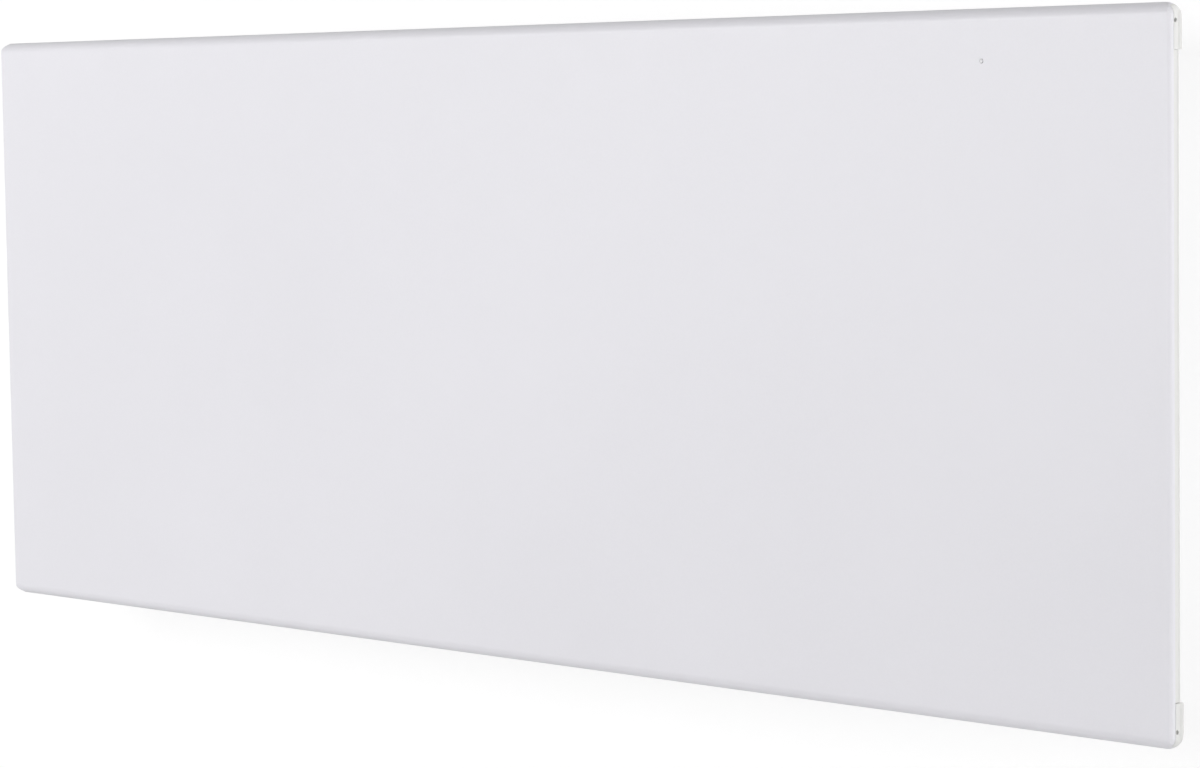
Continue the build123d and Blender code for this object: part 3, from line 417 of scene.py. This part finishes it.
# %% Helpers for new pieces
weld_distance = 0.000004
flat_within = math.radians(0.5)
edge_turn = math.radians(35.0)
softened_angle = 32.0


def placed(name, mesh_data):
    """A new object at the origin from a bmesh."""
    mesh = bpy.data.meshes.new(name)
    mesh_data.to_mesh(mesh)
    mesh_data.free()
    piece = bpy.data.objects.new(name, mesh)
    bpy.context.scene.collection.objects.link(piece)
    return piece


def finish_piece(mesh_data, name, material, body, smooth_angle=40.0):
    """A new piece of the heater from a bmesh, dressed and riding on a body."""
    bmesh.ops.recalc_face_normals(mesh_data, faces=mesh_data.faces[:])
    piece = placed(name, mesh_data)
    piece.data.shade_smooth()
    piece.data.set_sharp_from_angle(angle=math.radians(smooth_angle))
    put_on(piece, material)
    flat_faces = piece.modifiers.new("flat_faces", "WEIGHTED_NORMAL")
    flat_faces.keep_sharp = True
    flat_faces.weight = 100
    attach(piece, body)
    return piece


def merged_copy(name):
    """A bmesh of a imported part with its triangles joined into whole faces."""
    copy = bmesh.new()
    copy.from_mesh(nodes[name].data)
    bmesh.ops.remove_doubles(copy, verts=copy.verts[:], dist=weld_distance)
    bmesh.ops.dissolve_limit(copy, angle_limit=flat_within, verts=copy.verts[:], edges=copy.edges[:])
    return copy


def sharp_edges(mesh_data):
    """The edges where two faces turn too far to be one bend."""
    return [edge for edge in mesh_data.edges
            if len(edge.link_faces) == 2 and edge.calc_face_angle(0.0) > edge_turn]


def soften(name, width, segments=2):
    """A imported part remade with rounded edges, in its own place."""
    copy = merged_copy(name)
    bmesh.ops.bevel(copy, geom=sharp_edges(copy), offset=width, offset_type="OFFSET", affect="EDGES",
                    segments=segments, profile=0.5, material=-1, clamp_overlap=True)
    piece = finish_piece(copy, name + "_finished", finishes[slot_of[name]], body_of[name],
                         softened_angle)
    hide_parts(name)
    return piece


# %% Round the edges of the sheets and mouldings
edge_radius = {
    "corner_cap_top_right": 0.0004, "corner_cap_top_left": 0.0004,
    "corner_cap_bottom_right": 0.0004, "corner_cap_bottom_left": 0.0004,
    "side_rail_right": 0.0004, "side_rail_left": 0.0004,
    "wall_bracket": 0.00035, "hook_arms": 0.0004, "support_brackets": 0.0004, "clip_blades": 0.0003,
    "rear_casing": 0.00025, "cheek_left": 0.00025, "cheek_right": 0.00025,
    "control_cover": 0.0005, "control_housing": 0.0004, "rocker_body": 0.0003,
    "stiffener_left": 0.0002, "stiffener_right": 0.0002, "partition": 0.0002, "relay": 0.0005,
    "terminal_block": 0.0005, "element_bracket_left": 0.0003, "element_bracket_right": 0.0003,
}
softened = {}
for name, radius in edge_radius.items():
    softened[name] = soften(name, radius)
print("rounded", {name: len(piece.data.polygons) for name, piece in softened.items()})

# %% [markdown]
# The front is one pressed sheet. Its top and bottom roll back in a soft bend and its sides fold into
# short lips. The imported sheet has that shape, so its copy keeps it, the bends are shaded smooth, and
# only the cut edges of the sheet and the rim of the lamp's hole are rounded, by under a fifth of a
# millimetre.
# The two grilles are treated the same way: the press leaves a rolled edge round every air slot.

# %% Front sheet and grilles
front_panel = soften("front_panel", 0.00018)
outlet_grille = soften("outlet_grille", 0.0003)
inlet_grille = soften("inlet_grille", 0.0003)
sheets = [front_panel, outlet_grille, inlet_grille]
print("sheets", [(piece.name, len(piece.data.polygons)) for piece in sheets])

# %% [markdown]
# In the photograph the bend along the top is softer than a plain quarter circle: the shade fades over
# more than seven millimetres of the front, while the fold of the side lips is crisper. So the bends are
# eased here, on the sheet and on the caps that follow it. Each point near an edge keeps its depth and
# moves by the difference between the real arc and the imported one, less and less further in.

# %% Ease the long bends
long_bend, eased_long_bend = 0.005, 0.0075
side_bend, eased_side_bend = 0.002, 0.0011
bends = [(2, solid_box[1].z, long_bend, eased_long_bend), (0, solid_box[1].x, side_bend, eased_side_bend)]
front_face = solid_box[0].y
easing_reach = 2.2
hair = 0.00001


def arc_drop(radius, depth):
    """How far an arc of a radius lies below its top at a depth behind the front."""
    left = max(radius - depth, 0.0)
    return radius - math.sqrt(radius ** 2 - left ** 2)


def ease_bend(piece):
    """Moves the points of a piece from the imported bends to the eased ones."""
    moved = 0
    for vert in piece.data.vertices:
        depth = max(vert.co.y - front_face, 0.0)
        for axis, reach, packed, eased in bends:
            drop = reach - abs(vert.co[axis])
            span = easing_reach * max(packed, eased)
            if depth > packed + hair or drop > span:
                continue
            share = min(1.0, (span - drop) / (span - packed))
            shift = share * (arc_drop(eased, depth) - arc_drop(packed, depth))
            vert.co[axis] -= math.copysign(shift, vert.co[axis])
            moved += 1
    return moved


caps = [name for name in edge_radius if name.startswith("corner_cap")]
print("eased points", [ease_bend(piece) for piece in [front_panel] + [softened[name] for name in caps]])

# %% [markdown]
# Seen from the side, the moulded ends carry a fine line that runs the whole height, where the visible
# strip meets the tongue that goes behind the sheet. Three cuts across the strip and a push on the
# middle one make the groove, as deep as half its width. It goes on through rail and caps in one line.

# %% Groove along the moulded ends
groove_behind_front = 0.0084
groove_half_width = 0.0005
groove_skin = 0.0002
groove_turn = math.radians(30)
same_place = 0.000005
cut_distance = 0.000001


def cut_groove(piece):
    """A V groove along a moulded end, at one depth behind the front."""
    strip = bmesh.new()
    strip.from_mesh(piece.data)
    middle = front_face + groove_behind_front
    for place in (middle - groove_half_width, middle, middle + groove_half_width):
        everything = strip.verts[:] + strip.edges[:] + strip.faces[:]
        bmesh.ops.bisect_plane(strip, geom=everything, plane_co=(0, place, 0), plane_no=(0, 1, 0),
                               dist=cut_distance)
    cut = [vert for vert in strip.verts if abs(vert.co.y - middle) < same_place]
    outside = max(abs(vert.co.x) for vert in cut)
    edge = [vert for vert in cut if abs(vert.co.x) > outside - groove_skin]
    inwards = -1 if edge[0].co.x > 0 else 1
    bmesh.ops.translate(strip, verts=edge, vec=(inwards * groove_half_width, 0, 0))
    strip.to_mesh(piece.data)
    strip.free()
    piece.data.set_sharp_from_angle(angle=groove_turn)
    return len(edge)


ends = [name for name in edge_radius if name.startswith(("corner_cap", "side_rail"))]
print("groove points", {name: cut_groove(softened[name]) for name in ends})

# %% [markdown]
# The controls are read from above, standing in front of the heater. Each push button is a round cap
# with a shallow dish for the finger and a printed mark. A disc is inset and its middle lowered for the
# dish, and the mark is a thin raised shape that travels with its button. Below the disc its outline is
# pulled down as the skirt, out and down as the flange, and in and down as the stem.

# %% Button caps
cap_radius = 0.005
cap_sides = 48
cap_below_top = 0.0001
cap_rounding = 0.0006
dish_steps = ((0.0009, 0.0), (0.0016, -0.0002), (0.0012, -0.0001))
skirt_height = 0.0035
flange_height = 0.0012
stem_height = 0.0031


def pulled_ring(mesh_data, outline):
    """The points and edges at the free side of a ring of faces pulled from an outline."""
    grown = bmesh.ops.extrude_edge_only(mesh_data, edges=outline)["geom"]
    points = [item for item in grown if isinstance(item, bmesh.types.BMVert)]
    edges = [item for item in grown if isinstance(item, bmesh.types.BMEdge)
             and all(point in points for point in item.verts)]
    return points, edges


def disc(radius, sides, centre):
    """A flat round face."""
    made = bmesh.new()
    bmesh.ops.create_circle(made, cap_ends=True, segments=sides, radius=radius)
    bmesh.ops.translate(made, verts=made.verts[:], vec=centre)
    return made


def push_button(name):
    """A dished cap with a flange under the cover, in the place of a packed button."""
    low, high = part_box(name)
    centre = (low + high) / 2
    wider = (high.x - low.x) / 2 / cap_radius
    cap = disc(cap_radius, cap_sides, (centre.x, centre.y, high.z - cap_below_top))
    rim = cap.edges[:]
    top = cap.faces[:]
    for margin, sunk in dish_steps:
        bmesh.ops.inset_region(cap, faces=top, thickness=margin, depth=sunk, use_boundary=True)
    outline = rim
    for depth, width in ((skirt_height, 1.0), (0.0, wider), (flange_height, 1.0), (0.0, 1 / wider),
                         (stem_height, 1.0)):
        points, outline = pulled_ring(cap, outline)
        bmesh.ops.translate(cap, verts=points, vec=(0, 0, -depth))
        bmesh.ops.scale(cap, verts=points, vec=(width, width, 1), space=Matrix.Translation(-centre))
    bmesh.ops.holes_fill(cap, edges=outline, sides=0)
    bmesh.ops.bevel(cap, geom=rim, offset=cap_rounding, affect="EDGES", segments=4, profile=0.5, material=-1)
    piece = finish_piece(cap, name + "_cap", button_plastic, body_of[name], 45.0)
    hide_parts(name)
    return centre, high.z, len(piece.data.polygons)


def bar(size, centre, turn=0.0, corner=0.0):
    """A small flat bar, its upright edges rounded by a corner."""
    made = bmesh.new()
    bmesh.ops.create_cube(made, size=1.0)
    bmesh.ops.scale(made, vec=size, verts=made.verts[:])
    if corner:
        upright = [edge for edge in made.edges if abs(edge.verts[0].co.z - edge.verts[1].co.z) > size[2] / 2]
        bmesh.ops.bevel(made, geom=upright, offset=corner, affect="EDGES", segments=4, profile=0.5,
                        material=-1)
    bmesh.ops.rotate(made, verts=made.verts[:], cent=(0, 0, 0), matrix=Matrix.Rotation(turn, 3, "Z"))
    bmesh.ops.translate(made, verts=made.verts[:], vec=centre)
    return made


def ring(radius, width, height, centre, sides=40):
    """A thin flat ring."""
    made = bmesh.new()
    bmesh.ops.create_circle(made, segments=sides, radius=radius)
    inner, _ = pulled_ring(made, made.edges[:])
    size = (radius - width) / radius
    bmesh.ops.scale(made, verts=inner, vec=(size, size, 1))
    raised = bmesh.ops.extrude_face_region(made, geom=made.faces[:])["geom"]
    bmesh.ops.translate(made, verts=[item for item in raised if isinstance(item, bmesh.types.BMVert)],
                        vec=(0, 0, height))
    bmesh.ops.translate(made, verts=made.verts[:], vec=centre)
    return made


def joined(pieces):
    """Several bmeshes as one."""
    whole = bmesh.new()
    for item in pieces:
        part = bpy.data.meshes.new("part")
        item.to_mesh(part)
        item.free()
        whole.from_mesh(part)
        bpy.data.meshes.remove(part)
    return whole


# %% Caps and their marks
mark_height = 0.00048
mark_below_top = 0.0004
mark_bar = (0.0032, 0.0006, mark_height)
mark_ring_radius = 0.0016
mark_ring_width = 0.0005
buttons = {name: push_button(name) for name in ("button_minus", "button_mode", "button_plus")}
for name, (centre, top, _) in buttons.items():
    seat = Vector((centre.x, centre.y, top - mark_below_top))
    ring_seat = seat - Vector((0, 0, mark_height / 2))
    shapes = {"button_minus": [bar(mark_bar, seat)],
              "button_plus": [bar(mark_bar, seat), bar(mark_bar, seat, math.pi / 2)],
              "button_mode": [ring(mark_ring_radius, mark_ring_width, mark_height, ring_seat)]}
    mark = finish_piece(joined(shapes[name]), name + "_mark", mark_print, body_of[name])
    print(mark.name, "faces", len(mark.data.polygons))
print("buttons", {name: faces for name, (_, _, faces) in buttons.items()})

# %% [markdown]
# Under the smoked window two lit digits show the set temperature in degrees. A digit of this kind has
# seven bars with pointed ends, and each number lights some of them. One bar is a flat box whose upright
# edges are bevelled until its ends are points.

# %% Digits under the window
lit = {"1": "bc", "2": "abged"}
digit_width = 0.0036
digit_height = 0.0068
digit_from_middle = 0.0034
digit_above_module = 0.00009
segment_size = (0.0030, 0.0007, 0.00016)
segment_point = 0.00033
bar_places = {"a": (0, 1, 0), "d": (0, -1, 0), "g": (0, 0, 0), "b": (1, 0.5, 1), "c": (1, -0.5, 1),
              "f": (-1, 0.5, 1), "e": (-1, -0.5, 1)}


def digit(number, centre):
    """The lit bars of one digit; each place is across, up, and whether the bar stands."""
    bars = []
    for letter in lit[number]:
        across, up, stands = bar_places[letter]
        middle = (centre[0] + across * digit_width / 2, centre[1] + up * digit_height / 2, centre[2])
        bars.append(bar(segment_size, middle, stands * math.pi / 2, segment_point))
    return bars


low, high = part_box("display_module")
middle = (low + high) / 2
digit_shapes = []
for number, side in (("2", -1), ("1", 1)):
    place = (middle.x + side * digit_from_middle, middle.y, high.z + digit_above_module)
    digit_shapes += digit(number, place)
digits = finish_piece(joined(digit_shapes), "display_digits", lit_bar, "heater")
print("digit bars", len(digit_shapes), "faces", len(digits.data.polygons))

# %% [markdown]
# The mains switch is a rocker with one half pressed in. Its marks are the two usual ones, a bar for on
# and a ring for off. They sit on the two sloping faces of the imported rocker, so the script finds those
# faces, largest first, and turns each mark to lie on one.

# %% Rocker and its marks
rocker = soften("rocker", 0.0005, 3)
rocker_mark_height = 0.0002
rocker_mark_stands = 0.00014
on_bar = (0.0007, 0.0032, rocker_mark_height)
off_ring_radius = 0.0017
off_ring_width = 0.0005


def faces_towards(name, direction, count):
    """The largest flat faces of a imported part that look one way, as pairs of centre and normal."""
    copy = merged_copy(name)
    found = sorted((face for face in copy.faces if face.normal.dot(direction) > 0.8),
                   key=lambda face: -face.calc_area())
    picked = [(face.calc_center_median(), face.normal.copy()) for face in found[:count]]
    copy.free()
    return picked


def lay_on(mark, centre, normal):
    """A mark drawn flat at the origin, laid on a face."""
    turn = normal.to_track_quat("Z", "Y").to_matrix().to_4x4()
    bmesh.ops.transform(mark, matrix=Matrix.Translation(centre) @ turn, verts=mark.verts[:])
    return mark


slopes = sorted(faces_towards("rocker", Vector((1, 0, 0)), 2), key=lambda pair: -pair[0].z)
bar_seat = (0, 0, rocker_mark_stands - rocker_mark_height / 2)
ring_seat = (0, 0, rocker_mark_stands - rocker_mark_height)
on_mark = lay_on(bar(on_bar, bar_seat), *slopes[0])
off_mark = lay_on(ring(off_ring_radius, off_ring_width, rocker_mark_height, ring_seat), *slopes[1])
rocker_marks = finish_piece(joined([on_mark, off_mark]), "rocker_marks", white_moulding, "rocker")
print("rocker faces", len(rocker.data.polygons), "marks", len(rocker_marks.data.polygons),
      "slopes", [tuple(round(value, 3) for value in normal) for _, normal in slopes])

# %% [markdown]
# The cord's gland ends in a domed nut with grip ribs. It is turned from a ring of points: each step
# along the axis pulls out the ring and sizes it to the dome. Every second pair of points lies deeper,
# less and less until the ribs run out on the dome. A step is how far along, the radius as a share of
# the nut's, and the depth between the ribs as a share too.

# %% Ribbed gland nut
nut_sides = 96
nut_sectors = 48
bore_radius = 0.004
bore_chamfer = 0.0004


def ribbed_nut(name):
    """A domed nut with ribs along it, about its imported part's axis."""
    low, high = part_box(name)
    middle = (low + high) / 2
    outer = (high.z - low.z) / 2
    length = high.x - low.x
    nut = bmesh.new()
    bmesh.ops.create_circle(nut, segments=nut_sides, radius=outer,
                            matrix=Matrix.Rotation(math.pi / 2, 4, "Y"))
    bmesh.ops.translate(nut, verts=nut.verts[:], vec=(low.x, middle.y, middle.z))
    points, outline = nut.verts[:], nut.edges[:]
    bore = bore_radius / outer
    mouth = (bore_radius + bore_chamfer) / outer
    steps = [(0.0, 0.955, 0.0), (0.04, 1.0, 0.05), (0.52, 1.0, 0.05), (0.66, 0.985, 0.03), (0.80, 0.93, 0.0),
             (0.92, 0.82, 0.0), (1.0, 0.64, 0.0), (1.0, mouth, 0.0), (0.97, bore, 0.0), (0.03, bore, 0.0)]
    for number, (along, size, between_ribs) in enumerate(steps):
        if number:
            points, outline = pulled_ring(nut, outline)
        for point in points:
            turn = math.atan2(point.co.z - middle.z, point.co.y - middle.y)
            deeper = int((turn / math.tau + 0.5) * nut_sectors) % 2
            reach = outer * (size - deeper * between_ribs)
            point.co = (low.x + along * length, middle.y + reach * math.cos(turn),
                        middle.z + reach * math.sin(turn))
    bmesh.ops.bridge_loops(nut, edges=[edge for edge in nut.edges if edge.is_boundary])
    piece = finish_piece(nut, name + "_ribbed", black_moulding, body_of[name], 28.0)
    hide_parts(name)
    return piece


gland_cap = ribbed_nut("gland_cap")
gland_body = soften("gland_body", 0.0003)
print("gland", len(gland_cap.data.polygons), len(gland_body.data.polygons))

# %% [markdown]
# A large flat tray of thin sheet would drum, so its back is pressed with long stiffening beads. Each
# bead is a low bar with round ends: a box whose upright edges are bevelled to nearly half its width, and
# whose outer rim is then rounded off.

# %% Beads on the back of the casing
def bead(length, width, height, centre):
    """A rounded pressing that stands out of a sheet towards the wall."""
    made = bar((length, width, 2 * height), (0, 0, 0), 0.0, 0.49 * width)
    rim = [edge for edge in made.edges if all(vert.co.z > height / 2 for vert in edge.verts)]
    bmesh.ops.bevel(made, geom=rim, offset=0.8 * height, affect="EDGES", segments=4, profile=0.5, material=-1)
    bmesh.ops.rotate(made, verts=made.verts[:], cent=(0, 0, 0), matrix=Matrix.Rotation(-math.pi / 2, 3, "X"))
    bmesh.ops.translate(made, verts=made.verts[:], vec=centre)
    return made


casing_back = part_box("rear_casing")[1].y
bead_height = 0.0022
bead_width = 0.016
bead_rows = (-0.120, -0.060, 0.0, 0.060, 0.120)
bead_columns = ((-0.355, 0.150), (0.0, 0.300), (0.355, 0.150))
beads = []
for row in bead_rows:
    for column, length in bead_columns:
        beads.append(bead(length, bead_width, bead_height, (column, casing_back, row)))
casing_beads = finish_piece(joined(beads), "casing_beads", case_paint, "heater")
print("beads", len(beads), "faces", len(casing_beads.data.polygons))

# %% [markdown]
# The photograph shows the heater on plain white. A floor well below it is pale where light and shadow
# fall on it, and turns into plain white further out, for the camera and for reflections only, so the
# background adds no light to the heater. The world, further down, does the same: white to look at, dim
# to light with, and dimmer still from above.

# %% Floor
floor_level = -0.62
floor_radius = 9.0
near_radius = 0.9
white_radius = 1.7
floor = placed("floor", disc(floor_radius, 96, (0, 0, floor_level)))


def seen_directly(paint):
    """One for camera rays and for reflected and refracted ones, nought for the light that falls on things."""
    seen = [paint.node("ShaderNodeLightPath", {}, {}, name)
            for name in ("Is Camera Ray", "Is Glossy Ray", "Is Transmission Ray")]
    return seen[0].maths("MAXIMUM", seen[1]).maths("MAXIMUM", seen[2])


def shader(paint, colour, glow):
    """A second Principled shader in a finish, with a plain colour and a glow of its own."""
    return paint.node("ShaderNodeBsdfPrincipled", {},
                      {"Base Color": (*colour, 1.0), "Roughness": 0.95, "Specular IOR Level": 0.0,
                       "Emission Color": (1, 1, 1, 1), "Emission Strength": glow})


def mixed_shader(paint, amount, first, second):
    """Two shaders mixed by an amount."""
    return paint.node("ShaderNodeMixShader", {}, {0: amount, 1: first, 2: second})


def pale_floor():
    """A pale floor near the object that goes over into white further out."""
    ground = Finish("floor_paint", Roughness=0.95, Specular_IOR_Level=0.0)
    ground.set(Base_Color=(0.80, 0.80, 0.80, 1.0))
    lit_only = Value(ground, ground.shader.outputs[0])
    away = ground.node("ShaderNodeVectorMath", {"operation": "LENGTH"}, {0: ground.place}, "Value")
    near = shader(ground, (0.40, 0.40, 0.40), 0.62)
    white = shader(ground, (0.0, 0.0, 0.0), 1.0)
    looked_at = mixed_shader(ground, away.ramp(near_radius, white_radius), near, white)
    return ground.show(mixed_shader(ground, seen_directly(ground), lit_only, looked_at))


put_on(floor, pale_floor())
print("floor at", floor_level)

# %% [markdown]
# The heater hangs on a wall, and its edges throw a very faint shadow there. The wall is only a
# backdrop: the camera sees it from the front, and it lets every other ray and the view from behind
# through, so the back of the heater is lit and can be looked at. Most of its white is its own, and the
# small rest is a diffuse white that takes the shadow.

# %% Wall
wall_gap = 0.0004
wall_half_width = 1.7
wall_half_height = 1.0
wall_mesh = bmesh.new()
bmesh.ops.create_grid(wall_mesh, x_segments=1, y_segments=1, size=1.0,
                      matrix=Matrix.Rotation(math.pi / 2, 4, "X"))
bmesh.ops.scale(wall_mesh, verts=wall_mesh.verts[:], vec=(wall_half_width, 1.0, wall_half_height))
bmesh.ops.translate(wall_mesh, verts=wall_mesh.verts[:], vec=(0, wall_gap, wall_half_height + floor_level))
wall = placed("wall", wall_mesh)


def white_wall():
    """White to the camera in front of it, with a faint shadow, and clear to everything else."""
    plaster = Finish("wall_paint", Roughness=0.95, Specular_IOR_Level=0.0)
    plaster.set(Base_Color=(0.26, 0.26, 0.26, 1.0), Emission_Color=(1, 1, 1, 1), Emission_Strength=0.785)
    front = 1 - plaster.node("ShaderNodeNewGeometry", {}, {}, "Backfacing")
    seen = plaster.node("ShaderNodeLightPath", {}, {}, "Is Camera Ray")
    clear = plaster.node("ShaderNodeBsdfTransparent", {}, {})
    painted = Value(plaster, plaster.shader.outputs[0])
    return plaster.show(mixed_shader(plaster, front * seen, clear, painted))


put_on(wall, white_wall())
print("wall faces", tuple(round(value, 1) for value in wall.data.polygons[0].normal))

# %% World
world = bpy.data.worlds.new("studio")
bpy.context.scene.world = world
world.use_nodes = True


class WorldPaint(Finish):
    """The world's nodes, made by the same methods."""

    def __init__(self, tree):
        self.tree = tree


room = WorldPaint(world.node_tree)
room_light = 0.285
dimming_above = 0.45
direction = room.node("ShaderNodeTexCoord", {}, {}, "Generated")
upwards = room.node("ShaderNodeSeparateXYZ", {}, {"Vector": direction}, "Z")
from_room = room_light * (1 - dimming_above * upwards.ramp(0.1, 1.0))
seen = seen_directly(room)
level = seen + (1 - seen) * from_room
background = room.tree.nodes["Background"]
background.inputs["Color"].default_value = (1, 1, 1, 1)
room.tree.links.new(level.socket, background.inputs["Strength"])
print("room light", room_light)

# %% [markdown]
# Three large soft lights do the rest. An area lamp that is wide compared with its distance gives the
# slow falloff of a light tent. The wanted level on the surface fixes the power: for a lamp at a
# distance d, a diffuse surface looks as written at a level of one when the power is pi squared times
# d squared watts.

# %% Lights
target = Vector((0.05, -0.06, 0.0))


def soft_light(name, place, width, height, level):
    """A rectangular lamp that faces the object and lights it to a level."""
    lamp = bpy.data.lights.new(name, "AREA")
    lamp.shape = "RECTANGLE"
    lamp.size = width
    lamp.size_y = height
    distance = (Vector(place) - target).length
    lamp.energy = level * math.pi ** 2 * distance ** 2
    light = bpy.data.objects.new(name, lamp)
    light.location = place
    light.rotation_euler = (Vector(place) - target).to_track_quat("Z", "Y").to_euler()
    bpy.context.scene.collection.objects.link(light)
    return light


lights = [
    soft_light("key", (-1.3, -2.8, 0.70), 2.4, 1.8, 0.605),
    soft_light("side", (2.9, -0.40, 0.45), 1.6, 1.8, 0.44),
    soft_light("back", (0.9, 2.6, 1.2), 2.2, 1.6, 0.45),
]
print("lights", [(light.name, round(light.data.energy, 1)) for light in lights])

# %% [markdown]
# The camera stands where the photograph was taken from. Its place, turn and lens come from fitting the
# panel's corners and edges in the photograph to the panel's real size.

# %% Camera
camera_data = bpy.data.cameras.new("camera")
camera_data.sensor_width = 36.0
camera_data.lens = 108.451
camera = bpy.data.objects.new("camera", camera_data)
camera.location = (1.63122, -1.66984, 0.15211)
camera.rotation_euler = Euler([math.radians(angle) for angle in (85.526, 0.863, 44.146)], "XYZ")
bpy.context.scene.collection.objects.link(camera)
bpy.context.scene.camera = camera
bpy.context.scene.view_settings.view_transform = "Standard"
print("camera", tuple(round(value, 3) for value in camera.location), camera_data.lens)
